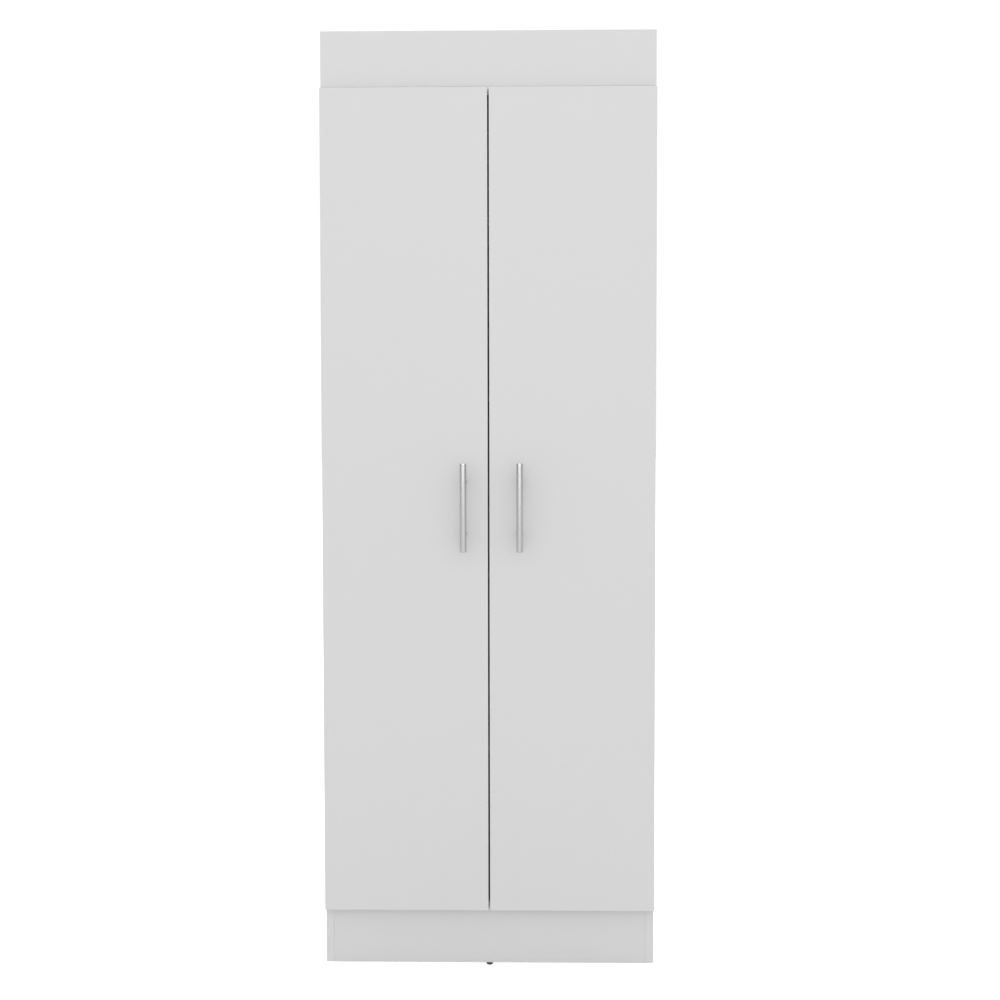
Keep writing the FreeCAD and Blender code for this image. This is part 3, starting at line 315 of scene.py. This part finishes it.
def make_finishes():
    colours = bpy.context.scene.cabinet_colours
    groups = {"surface": speckle_group(), "brushing": brushing_group()}

    def coated(name, base, constants=None, bump=(0.00002, 0.2), **values):
        finish = Finish(name, *bump, **(constants or {}))
        finish.surface(groups["surface"], base, **values)
        return finish.material

    metal = {"Metallic": 1.0}
    return {
        "melamine": coated(
            "satin_melamine", colours.melamine, {"Specular IOR Level": 0.45}, (0.00004, 0.35),
            Variation=0.012, Roughness=0.42, Roughness_Spread=0.06, Fine_Scale=1100.0, Broad_Scale=3.0),
        "edge_band": coated(
            "edge_band", colours.edge_band, {"Specular IOR Level": 0.5}, (0.00003, 0.3),
            Variation=0.015, Roughness=0.34, Roughness_Spread=0.05, Fine_Scale=700.0, Broad_Scale=9.0),
        "chipboard": chipboard("chipboard_core", colours.chip_light, colours.chip_dark),
        "hardboard": hardboard_back("hardboard_rear", colours.hardboard),
        "white_plastic": coated("white_plastic", colours.white_plastic, Roughness=0.45, Fine_Scale=1600.0),
        "dark_plastic": coated(
            "dark_glide_plastic", colours.dark_plastic, {"Specular IOR Level": 0.55},
            Roughness=0.36, Roughness_Spread=0.12, Variation=0.25, Fine_Scale=1500.0, Broad_Scale=150.0),
        "rubber": coated(
            "clear_bumper_rubber", colours.rubber, {"Transmission Weight": 0.35, "IOR": 1.45},
            Roughness=0.3, Fine_Scale=800.0),
        "steel": brushed_steel("brushed_handle_steel", groups, colours.steel),
        "nickel": coated(
            "nickel_plate", colours.nickel, metal, (0.00002, 0.15),
            Roughness=0.24, Roughness_Spread=0.14, Variation=0.08, Fine_Scale=1400.0, Broad_Scale=60.0),
        "zinc": coated(
            "bright_zinc", colours.zinc, metal, (0.00003, 0.2),
            Roughness=0.30, Roughness_Spread=0.2, Variation=0.16, Fine_Scale=1800.0, Broad_Scale=130.0),
        "cast_zinc": coated(
            "cast_zinc", colours.cast_zinc, metal, (0.00006, 0.5),
            Roughness=0.48, Roughness_Spread=0.2, Variation=0.2, Fine_Scale=2200.0, Broad_Scale=200.0),
        "beech": beech("beech", colours.beech),
    }


FINISHES = {}


def finish_named(name):
    if not FINISHES:
        FINISHES.update(make_finishes())
    return FINISHES[name]


# ---- Mesh helpers -------------------------------------------------------------------------------


def node_copy(node):
    """A welded bmesh of a CAD node, with its flat faces rejoined."""
    shape = bmesh.new()
    shape.from_mesh(frame["nodes"][node].data)
    bmesh.ops.remove_doubles(shape, verts=shape.verts, dist=WELD)
    bmesh.ops.dissolve_limit(
        shape, angle_limit=FLAT_ANGLE, use_dissolve_boundaries=False, verts=shape.verts, edges=shape.edges)
    return shape


def shaded_object(name, mesh, smooth_angle):
    """Puts a mesh in the scene, smooth up to an angle between its faces and sharp past it."""
    mesh.polygons.foreach_set("use_smooth", [True] * len(mesh.polygons))
    mesh.set_sharp_from_angle(angle=smooth_angle)
    thing = bpy.data.objects.new(name, mesh)
    bpy.context.collection.objects.link(thing)
    return thing


def finished_object(name, shape, finishes):
    """Turns a bmesh into an object with its materials and its normals."""
    mesh = bpy.data.meshes.new(name)
    shape.to_mesh(mesh)
    shape.free()
    for finish in finishes:
        mesh.materials.append(finish_named(finish))
    return shaded_object(name, mesh, PART_SMOOTH)


def soften(thing, width, segments=2, marked_only=False):
    """Rounds the edges: every corner past an angle, or only the marked ones with the flats kept flat."""
    bevel = thing.modifiers.new("softened_edges", "BEVEL")
    bevel.width = width
    bevel.segments = segments
    bevel.limit_method = "WEIGHT" if marked_only else "ANGLE"
    bevel.angle_limit = CORNER_ANGLE
    bevel.harden_normals = not marked_only
    if marked_only:
        flat = thing.modifiers.new("flat_faces", "WEIGHTED_NORMAL")
        flat.mode = "FACE_AREA"
        flat.weight = FLAT_FACE_WEIGHT
        flat.keep_sharp = True
    return thing


def stand_for(thing, *nodes):
    """The piece shows in place of its CAD nodes, on their body."""
    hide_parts(*nodes)
    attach(thing, BODY_OF[nodes[0]])
    return thing


def softened_node(node, finish, width, suffix="shown", segments=2, clearance=0.0):
    """A CAD node with rounded edges, drawn in by a clearance where it runs close to its neighbours."""
    shape = node_copy(node)
    if clearance:
        shape.normal_update()
        for vert in shape.verts:
            vert.co -= vert.normal * clearance
    thing = finished_object(f"{node}_{suffix}", shape, [finish])
    return stand_for(soften(thing, width, segments), node)


def islands(node):
    """(lowest corner, highest corner) of each separate solid of a CAD node."""
    shape = bmesh.new()
    shape.from_mesh(frame["nodes"][node].data)
    bmesh.ops.remove_doubles(shape, verts=shape.verts, dist=WELD)
    boxes = []
    waiting = set(shape.verts)
    while waiting:
        reached = [waiting.pop()]
        for vert in reached:
            for edge in vert.link_edges:
                other = edge.other_vert(vert)
                if other in waiting:
                    waiting.remove(other)
                    reached.append(other)
        spots = [vert.co for vert in reached]
        boxes.append((
            Vector([min(spot[axis] for spot in spots) for axis in range(3)]),
            Vector([max(spot[axis] for spot in spots) for axis in range(3)])))
    shape.free()
    return sorted(boxes, key=lambda box: tuple(round(value, 5) for value in box[0]))


def lathe(outline, sides):
    """A closed turned shape about Z from (radius, height) points that start and end on the axis."""
    shape = bmesh.new()
    rings = []
    for radius, height in outline:
        if radius <= 0:
            rings.append([shape.verts.new((0.0, 0.0, height))])
            continue
        angles = (2 * math.pi * step / sides for step in range(sides))
        corners = ((radius * math.cos(angle), radius * math.sin(angle), height) for angle in angles)
        rings.append([shape.verts.new(corner) for corner in corners])
    for low, high in zip(rings, rings[1:]):
        for step in range(sides):
            ahead = (step + 1) % sides
            corners = [
                low[step % len(low)], low[ahead % len(low)], high[ahead % len(high)], high[step % len(high)]]
            shape.faces.new(dict.fromkeys(corners))
    bmesh.ops.recalc_face_normals(shape, faces=shape.faces)
    return shape


def repeat_tree():
    """Geometry nodes that set a copy of one part on every point, turned as the point says."""
    tree = bpy.data.node_groups.new("repeated_part", "GeometryNodeTree")
    face = tree.interface
    face.new_socket("Places", in_out="INPUT", socket_type="NodeSocketGeometry")
    face.new_socket("Part", in_out="INPUT", socket_type="NodeSocketObject")
    face.new_socket("Scale", in_out="INPUT", socket_type="NodeSocketFloat").default_value = 1.0
    face.new_socket("Finish", in_out="INPUT", socket_type="NodeSocketMaterial")
    face.new_socket("Parts", in_out="OUTPUT", socket_type="NodeSocketGeometry")
    nodes, links = tree.nodes, tree.links
    given, out = nodes.new("NodeGroupInput"), nodes.new("NodeGroupOutput")
    part = nodes.new("GeometryNodeObjectInfo")
    turn = nodes.new("GeometryNodeInputNamedAttribute")
    turn.data_type = "FLOAT_VECTOR"
    turn.inputs["Name"].default_value = "turn"
    spread = nodes.new("GeometryNodeInstanceOnPoints")
    real = nodes.new("GeometryNodeRealizeInstances")
    paint = nodes.new("GeometryNodeSetMaterial")
    links.new(given.outputs["Places"], spread.inputs["Points"])
    links.new(given.outputs["Part"], part.inputs["Object"])
    links.new(part.outputs["Geometry"], spread.inputs["Instance"])
    links.new(turn.outputs["Attribute"], spread.inputs["Rotation"])
    links.new(given.outputs["Scale"], spread.inputs["Scale"])
    links.new(spread.outputs["Instances"], real.inputs["Geometry"])
    links.new(real.outputs["Geometry"], paint.inputs["Geometry"])
    links.new(given.outputs["Finish"], paint.inputs["Material"])
    links.new(paint.outputs["Geometry"], out.inputs["Parts"])
    return tree


def evaluated_mesh(thing):
    return bpy.data.meshes.new_from_object(thing.evaluated_get(bpy.context.evaluated_depsgraph_get()))


def repeated(name, master, places, finish):
    """One plain mesh of the master at each (place, outward direction), made by geometry nodes."""
    points = bpy.data.meshes.new(f"{name}_places")
    points.from_pydata([place for place, outward in places], [], [])
    turn = points.attributes.new("turn", "FLOAT_VECTOR", "POINT")
    for at, (place, outward) in zip(turn.data, places):
        at.vector = Vector(outward).to_track_quat("Z", "Y").to_euler()
    carrier = bpy.data.objects.new(f"{name}_carrier", points)
    bpy.context.collection.objects.link(carrier)
    tree = bpy.data.node_groups.get("repeated_part") or repeat_tree()
    spread = carrier.modifiers.new("repeat", "NODES")
    spread.node_group = tree
    values = {"Part": master, "Scale": 1.0, "Finish": finish_named(finish)}
    for item in tree.interface.items_tree:
        if item.in_out == "INPUT" and item.name in values:
            spread[item.identifier] = values[item.name]
    mesh = evaluated_mesh(carrier)
    bpy.data.objects.remove(carrier)
    return shaded_object(name, mesh, REPEAT_SMOOTH)


def head_places(node, axis, sign_of):
    """The middle of each island's outer end along an axis, and the way that end faces."""
    places = []
    for low, high in islands(node):
        middle = (low + high) / 2
        sign = sign_of(middle)
        outward = Vector((0.0, 0.0, 0.0))
        outward[axis] = sign
        middle[axis] = high[axis] if sign > 0 else low[axis]
        places.append((middle, outward))
    return places


# ---- Fasteners ----------------------------------------------------------------------------------


def screw_outline(head_radius, radius, reach, head, countersunk, pitch):
    """(radius, height) points of a screw that hangs below its head's top, threads included."""
    crown = head * 0.35
    outline = [(0.0, 0.0), (head_radius * 0.55, -crown * 0.12), (head_radius * 0.88, -crown * 0.6)]
    outline += [(head_radius, -crown * 1.3), (head_radius * (0.9 if countersunk else 0.98), -head)]
    outline.append((radius * 0.8, -head))
    core, height = radius * 0.78, -head - pitch
    while height > -(reach - 2 * radius - pitch):
        outline += [(core, height), (radius, height - pitch * 0.3), (core, height - pitch * 0.6)]
        height -= pitch
    return outline + [(core, -(reach - 1.6 * radius)), (0.0, -reach)]


def cross_recess(width, reach, depth):
    """A tapered cross-shaped cutter that stands through the head's top."""
    shape = bmesh.new()
    for turn in (0.0, math.pi / 2):
        part = bmesh.ops.create_cube(shape, size=1.0)["verts"]
        for vert in part:
            taper = 1.0 if vert.co.z > 0 else 0.45
            x, y = vert.co.x * 2 * reach * taper, vert.co.y * width * taper
            vert.co = Matrix.Rotation(turn, 3, "Z") @ Vector((x, y, 0.6 * MM if vert.co.z > 0 else -depth))
    return shape


def screw_master(name, head_radius, radius, reach, head, countersunk=False):
    sizes = bpy.context.scene.cabinet_sizes
    outline = screw_outline(head_radius, radius, reach, head, countersunk, sizes.thread_pitch)
    body = finished_object(name, lathe(outline, sizes.sides), [])
    mesh = bpy.data.meshes.new(f"{name}_cutter")
    cutter_shape = cross_recess(sizes.recess_width, head_radius * 0.62, min(1.2 * MM, head * 0.8))
    cutter_shape.to_mesh(mesh)
    cutter_shape.free()
    cutter = bpy.data.objects.new(f"{name}_cutter", mesh)
    bpy.context.collection.objects.link(cutter)
    cut = body.modifiers.new("recess", "BOOLEAN")
    cut.operation = "DIFFERENCE"
    cut.solver = "EXACT"
    cut.use_self = True
    cut.object = cutter
    mesh = evaluated_mesh(body)
    body.modifiers.clear()
    body.data = mesh
    bpy.data.objects.remove(cutter)
    return body


def outward_sign(middle):
    """Heads that face the positive way of their axis, wherever they are."""
    return 1.0


def inward_sign(middle):
    """The way from the nearer side of the cabinet to its middle."""
    return 1.0 if middle.x < 0 else -1.0


SCREWS = (
    # node, axis, way its head faces, head radius, shank radius, head height, countersunk
    ("cup_screws_left", 1, outward_sign, 3.4, 1.75, 2.0, True),
    ("cup_screws_right", 1, outward_sign, 3.4, 1.75, 2.0, True),
    ("plate_screws", 0, inward_sign, 4.0, 2.4, 2.0, True),
    ("arm_screws", 0, inward_sign, 3.6, 2.0, 1.8, False),
    ("handle_screws_left", 1, outward_sign, 3.9, 2.0, 2.4, False),
    ("handle_screws_right", 1, outward_sign, 3.9, 2.0, 2.4, False),
    ("bracket_screws", 2, outward_sign, 3.4, 1.75, 2.0, True),
)


class CABINET_OT_screws(bpy.types.Operator):
    """Make the cross-recessed screws of the hinges, handles and wall bracket"""
    bl_idname = "cabinet.screws"
    bl_label = "Screws"

    def execute(self, context):
        for node, axis, sign_of, head_radius, radius, head, countersunk in SCREWS:
            low, high = islands(node)[0]
            reach = (high - low)[axis]
            master = screw_master(
                f"{node}_master", head_radius * MM, radius * MM, reach, head * MM, countersunk)
            finish = "nickel" if "cup" in node or "arm" in node else "zinc"
            places = head_places(node, axis, sign_of)
            stand_for(repeated(f"{node}_shown", master, places, finish), node)
            bpy.data.objects.remove(master)
        return {"FINISHED"}


class CABINET_OT_nails(bpy.types.Operator):
    """Make the flat-headed nails of the back"""
    bl_idname = "cabinet.nails"
    bl_label = "Nails"

    def execute(self, context):
        low, high = islands("back_nails")[0]
        reach, head = (high - low).y, (high - low).x / 2
        shank = 0.8 * MM
        outline = [
            (0.0, -0.05 * MM), (head * 0.8, 0.0), (head, -0.25 * MM), (head * 0.98, -0.6 * MM),
            (shank * 1.3, -0.7 * MM), (shank, -1.6 * MM), (shank, -reach + 2 * shank), (0.0, -reach)]
        master = finished_object("nail_master", lathe(outline, 20), [])
        places = head_places("back_nails", 1, outward_sign)
        stand_for(repeated("back_nails_shown", master, places, "zinc"), "back_nails")
        bpy.data.objects.remove(master)
        return {"FINISHED"}


class CABINET_OT_glides(bpy.types.Operator):
    """Make the domed floor glides"""
    bl_idname = "cabinet.glides"
    bl_label = "Floor glides"

    def execute(self, context):
        low, high = islands("floor_glides")[0]
        radius = (high - low).x / 2
        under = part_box("side_panel_left")[0][2]
        crown, top = under * 0.72, under - 0.01 * MM
        outline = [(0.0, 0.0), (radius * 0.5, 0.0)]
        steps = 9
        for step in range(1, steps + 1):
            angle = math.pi / 2 * step / steps
            outline.append((radius * (0.5 + 0.5 * math.sin(angle)), crown * (1 - math.cos(angle))))
        outline += [(radius, top - 0.4 * MM), (radius - 0.35 * MM, top), (1.2 * MM, top)]
        outline += [(1.2 * MM, high.z - 1.2 * MM), (0.0, high.z)]
        master = finished_object("glide_master", lathe(outline, 40), [])
        places = [
            (Vector(((a.x + b.x) / 2, (a.y + b.y) / 2, 0.0)), Vector((0.0, 0.0, 1.0)))
            for a, b in islands("floor_glides")]
        stand_for(repeated("floor_glides_shown", master, places, "dark_plastic"), "floor_glides")
        bpy.data.objects.remove(master)
        return {"FINISHED"}


BUMPER_OUTLINE = ((0.0, 1.0), (1.0, 1.0), (1.0, 0.55), (0.93, 0.25), (0.74, 0.06), (0.4, 0.0), (0.0, 0.0))


class CABINET_OT_bumpers(bpy.types.Operator):
    """Make the soft door bumpers"""
    bl_idname = "cabinet.bumpers"
    bl_label = "Door bumpers"

    def execute(self, context):
        for side in SIDES:
            node = f"door_bumpers_{side}"
            low, high = islands(node)[0]
            radius, height = (high - low).x / 2, (high - low).y
            outline = [(radius * across, -height * down) for across, down in BUMPER_OUTLINE]
            master = finished_object(f"{node}_master", lathe(outline, 28), [])
            places = head_places(node, 1, outward_sign)
            stand_for(repeated(f"{node}_shown", master, places, "rubber"), node)
            bpy.data.objects.remove(master)
        return {"FINISHED"}


# ---- Boards -------------------------------------------------------------------------------------

BOARDS = {
    # node: the edges left bare, as signed axes
    "side_panel_left": ("+y", "-z", "+z"),
    "side_panel_right": ("+y", "-z", "+z"),
    "top_panel": ("+y",),
    "bottom_panel": ("+y", "-x", "+x"),
    "header_panel": ("-z",),
    "plinth_front": ("-x", "+x", "-z"),
    "plinth_rear": ("-x", "+x", "-z"),
    "shelf_1": ("+y", "-x", "+x"),
    "shelf_2": ("+y", "-x", "+x"),
    "shelf_3": ("+y", "-x", "+x"),
    "shelf_4": ("+y", "-x", "+x"),
    "door_left": (),
    "door_right": (),
}
MELAMINE, EDGE_BAND, CORE = range(3)


def face_kind(face, low, high, flat_axis, bare):
    """Which of a board's materials a face shows: facing, edge band, or bare core in bores and cut edges."""
    centre = face.calc_center_median()
    for axis in range(3):
        for sign, wall in ((-1, low[axis]), (1, high[axis])):
            if abs(centre[axis] - wall) < ON_WALL and face.normal[axis] * sign > 0.99:
                if axis == flat_axis:
                    return MELAMINE
                return CORE if f"{'+' if sign > 0 else '-'}{'xyz'[axis]}" in bare else EDGE_BAND
    return CORE


def mark_arrises(thing, low, high):
    """Marks the edges that lie where two outer walls of a board meet; its bores stay sharp, as drilled."""
    mesh = thing.data
    weights = mesh.attributes.new("bevel_weight_edge", "FLOAT", "EDGE")
    for edge in mesh.edges:
        ends = [mesh.vertices[index].co for index in edge.vertices]
        walls = sum(
            all(abs(end[axis] - wall) < ON_WALL for end in ends)
            for axis in range(3) for wall in (low[axis], high[axis]))
        weights.data[edge.index].value = 1.0 if walls == 2 else 0.0


def make_board(node, bare, finishes, arris):
    low, high = (Vector(corner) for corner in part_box(node))
    size = high - low
    flat_axis = min(range(3), key=lambda axis: size[axis])
    shape = node_copy(node)
    for face in shape.faces:
        face.material_index = face_kind(face, low, high, flat_axis, bare)
    thing = finished_object(f"{node}_shown", shape, finishes)
    mark_arrises(thing, low, high)
    return stand_for(soften(thing, arris, marked_only=True), node)


class CABINET_OT_boards(bpy.types.Operator):
    """Make the melamine-faced boards: carcass, plinth, fascia, shelves and doors"""
    bl_idname = "cabinet.boards"
    bl_label = "Boards"

    def execute(self, context):
        for node, bare in BOARDS.items():
            make_board(
                node, bare, ["melamine", "edge_band", "chipboard"], context.scene.cabinet_sizes.board_arris)
        return {"FINISHED"}


class CABINET_OT_back(bpy.types.Operator):
    """Make the two hardboard back panels and the strip that joins them"""
    bl_idname = "cabinet.back"
    bl_label = "Back"

    def execute(self, context):
        sizes = context.scene.cabinet_sizes
        for node in ("back_panel_lower", "back_panel_upper"):
            shape = node_copy(node)
            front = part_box(node)[0][1]
            for face in shape.faces:
                seen_inside = abs(face.calc_center_median().y - front) < ON_WALL and face.normal.y < -0.99
                face.material_index = 0 if seen_inside else 1
            thing = finished_object(f"{node}_shown", shape, ["melamine", "hardboard"])
            stand_for(soften(thing, sizes.hardboard_arris), node)
        softened_node("back_joiner", "white_plastic", sizes.hardboard_arris)
        return {"FINISHED"}


# ---- Hardware -----------------------------------------------------------------------------------


class CABINET_OT_handles(bpy.types.Operator):
    """Make the T-bar handles"""
    bl_idname = "cabinet.handles"
    bl_label = "Handles"

    def execute(self, context):
        for side in SIDES:
            softened_node(f"handle_bar_{side}", "steel", context.scene.cabinet_sizes.bar_round, segments=3)
            softened_node(f"handle_posts_{side}", "steel", context.scene.cabinet_sizes.steel_round)
        return {"FINISHED"}


class CABINET_OT_hinges(bpy.types.Operator):
    """Make the cup hinges: cups, arms, plates, links and pins"""
    bl_idname = "cabinet.hinges"
    bl_label = "Hinges"

    def execute(self, context):
        width = context.scene.cabinet_sizes.steel_round
        for side in SIDES:
            for level in LEVELS:
                softened_node(f"hinge_cup_{side}_{level}", "nickel", width)
                softened_node(f"hinge_arm_{side}_{level}", "nickel", width)
            softened_node(f"hinge_plates_{side}", "nickel", width)
            softened_node(f"outer_links_{side}", "nickel", width / 2, clearance=LINK_CLEARANCE)
            for node in (f"inner_links_{side}", f"cup_pins_{side}"):
                softened_node(node, "nickel", width / 2)
        softened_node("arm_pins", "nickel", width / 2)
        return {"FINISHED"}


class CABINET_OT_fixings(bpy.types.Operator):
    """Finish the cams, bolts, dowels, shelf pins and wall bracket"""
    bl_idname = "cabinet.fixings"
    bl_label = "Fixings"

    def execute(self, context):
        width = context.scene.cabinet_sizes.steel_round
        softened_node("cam_locks", "cast_zinc", width)
        softened_node("shelf_pins", "zinc", width)
        softened_node("wall_bracket", "zinc", width)
        for node, finish in (("cam_bolts", "zinc"), ("wood_dowels", "beech")):
            thing = frame["nodes"][node]
            for slot in thing.material_slots:
                slot.material = finish_named(finish)
        return {"FINISHED"}


# ---- Stage --------------------------------------------------------------------------------------


def softbox(name, place, aim, size, power):
    light = bpy.data.lights.new(name, "AREA")
    light.shape = "RECTANGLE"
    light.size, light.size_y = size
    light.energy = power
    lamp = bpy.data.objects.new(name, light)
    lamp.location = place
    lamp.rotation_euler = (Vector(aim) - Vector(place)).to_track_quat("-Z", "Y").to_euler()
    bpy.context.collection.objects.link(lamp)
    return lamp


def make_surround(stage):
    """A white room with darker walls at the sides, so that round metal shows its form."""
    world = bpy.data.worlds.new("white_surround")
    world.use_nodes = True
    nodes, links = world.node_tree.nodes, world.node_tree.links
    place, split = nodes.new("ShaderNodeTexCoord"), nodes.new("ShaderNodeSeparateXYZ")
    sideways = nodes.new("ShaderNodeMath")
    sideways.operation = "ABSOLUTE"
    walls = nodes.new("ShaderNodeMapRange")
    walls.interpolation_type = "SMOOTHSTEP"
    set_values(walls, {
        "From Min": 0.6, "From Max": 0.9, "To Min": stage.front_wall, "To Max": stage.side_walls})
    links.new(place.outputs["Generated"], split.inputs[0])
    links.new(split.outputs["X"], sideways.inputs[0])
    links.new(sideways.outputs[0], walls.inputs["Value"])
    seen, plain = nodes.new("ShaderNodeLightPath"), nodes.new("ShaderNodeMix")
    links.new(seen.outputs["Is Glossy Ray"], plain.inputs["Factor"])
    plain.inputs["A"].default_value = stage.sky
    links.new(walls.outputs["Result"], plain.inputs["B"])
    links.new(plain.outputs["Result"], nodes["Background"].inputs["Strength"])
    nodes["Background"].inputs["Color"].default_value = (1.0, 1.0, 1.0, 1.0)
    return world


def make_floor(stage):
    shape = bmesh.new()
    bmesh.ops.create_grid(shape, x_segments=1, y_segments=1, size=40.0)
    mesh = bpy.data.meshes.new("floor")
    shape.to_mesh(mesh)
    shape.free()
    floor = bpy.data.objects.new("floor", mesh)
    bpy.context.collection.objects.link(floor)
    paint = bpy.data.materials.new("pale_floor")
    paint.use_nodes = True
    shader = set_values(paint.node_tree.nodes["Principled BSDF"], {
        "Base Color": (*[stage.floor_white] * 3, 1.0), "Roughness": 0.9, "Specular IOR Level": 0.0,
        "Emission Color": (1.0, 1.0, 1.0, 1.0)})
    seen = paint.node_tree.nodes.new("ShaderNodeLightPath")
    paint.node_tree.links.new(seen.outputs["Is Camera Ray"], shader.inputs["Emission Strength"])
    mesh.materials.append(paint)


def make_camera(stage):
    camera = bpy.data.cameras.new("camera")
    camera.lens = stage.lens
    camera.sensor_width = 36.0
    camera.clip_end = 200.0
    holder = bpy.data.objects.new("camera", camera)
    front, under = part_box("side_panel_left")[0][1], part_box("side_panel_left")[0][2]
    turn = (
        Matrix.Rotation(stage.yaw, 4, "Z") @ Matrix.Rotation(math.pi / 2 - stage.pitch, 4, "X")
        @ Matrix.Rotation(stage.roll, 4, "Z"))
    place = (stage.camera_across, front - stage.camera_back, under + stage.camera_height)
    holder.matrix_world = Matrix.Translation(place) @ turn
    bpy.context.collection.objects.link(holder)
    bpy.context.scene.camera = holder


class CABINET_OT_stage(bpy.types.Operator):
    """Set up the floor, the soft light and the camera"""
    bl_idname = "cabinet.stage"
    bl_label = "Stage"

    def execute(self, context):
        scene = context.scene
        stage = scene.cabinet_stage
        make_floor(stage)
        scene.world = make_surround(stage)
        for name, place, aim, size, power in (
            ("front_softbox", (0.3, -3.2, 0.9), (0.0, 0.0, 0.6), (1.6, 2.2), stage.front_light),
            ("top_softbox", (-0.4, -0.3, 4.2), (0.0, 0.0, 1.0), (3.4, 3.4), stage.top_light),
        ):
            softbox(name, place, aim, size, power)
        make_camera(stage)
        scene.view_settings.view_transform = "Standard"
        scene.view_settings.look = "None"
        return {"FINISHED"}


# ---- Add-on -------------------------------------------------------------------------------------

STEPS = (
    CABINET_OT_stage, CABINET_OT_boards, CABINET_OT_back, CABINET_OT_handles, CABINET_OT_hinges,
    CABINET_OT_fixings, CABINET_OT_screws, CABINET_OT_nails, CABINET_OT_glides, CABINET_OT_bumpers,
)


class CABINET_PT_panel(bpy.types.Panel):
    """Lists the cabinet's settings and the steps that build it"""
    bl_idname = "CABINET_PT_panel"
    bl_label = "Pantry cabinet"
    bl_space_type = "VIEW_3D"
    bl_region_type = "UI"
    bl_category = "Pantry cabinet"

    def draw(self, context):
        scene = context.scene
        for group in (scene.cabinet_sizes, scene.cabinet_colours, scene.cabinet_stage):
            for name in group.__annotations__:
                self.layout.prop(group, name)
        for step in STEPS:
            self.layout.operator(step.bl_idname)


GROUPS = {"cabinet_sizes": CabinetSizes, "cabinet_colours": CabinetColours, "cabinet_stage": CabinetStage}


def register():
    for made in (*GROUPS.values(), *STEPS, CABINET_PT_panel):
        bpy.utils.register_class(made)
    for name, group in GROUPS.items():
        setattr(bpy.types.Scene, name, bpy.props.PointerProperty(type=group))


def unregister():
    for name in GROUPS:
        delattr(bpy.types.Scene, name)
    for made in reversed((*GROUPS.values(), *STEPS, CABINET_PT_panel)):
        bpy.utils.unregister_class(made)


def main():
    register()
    for step in STEPS:
        area, name = step.bl_idname.split(".")
        getattr(getattr(bpy.ops, area), name)()


if __name__ == "__main__":
    main()
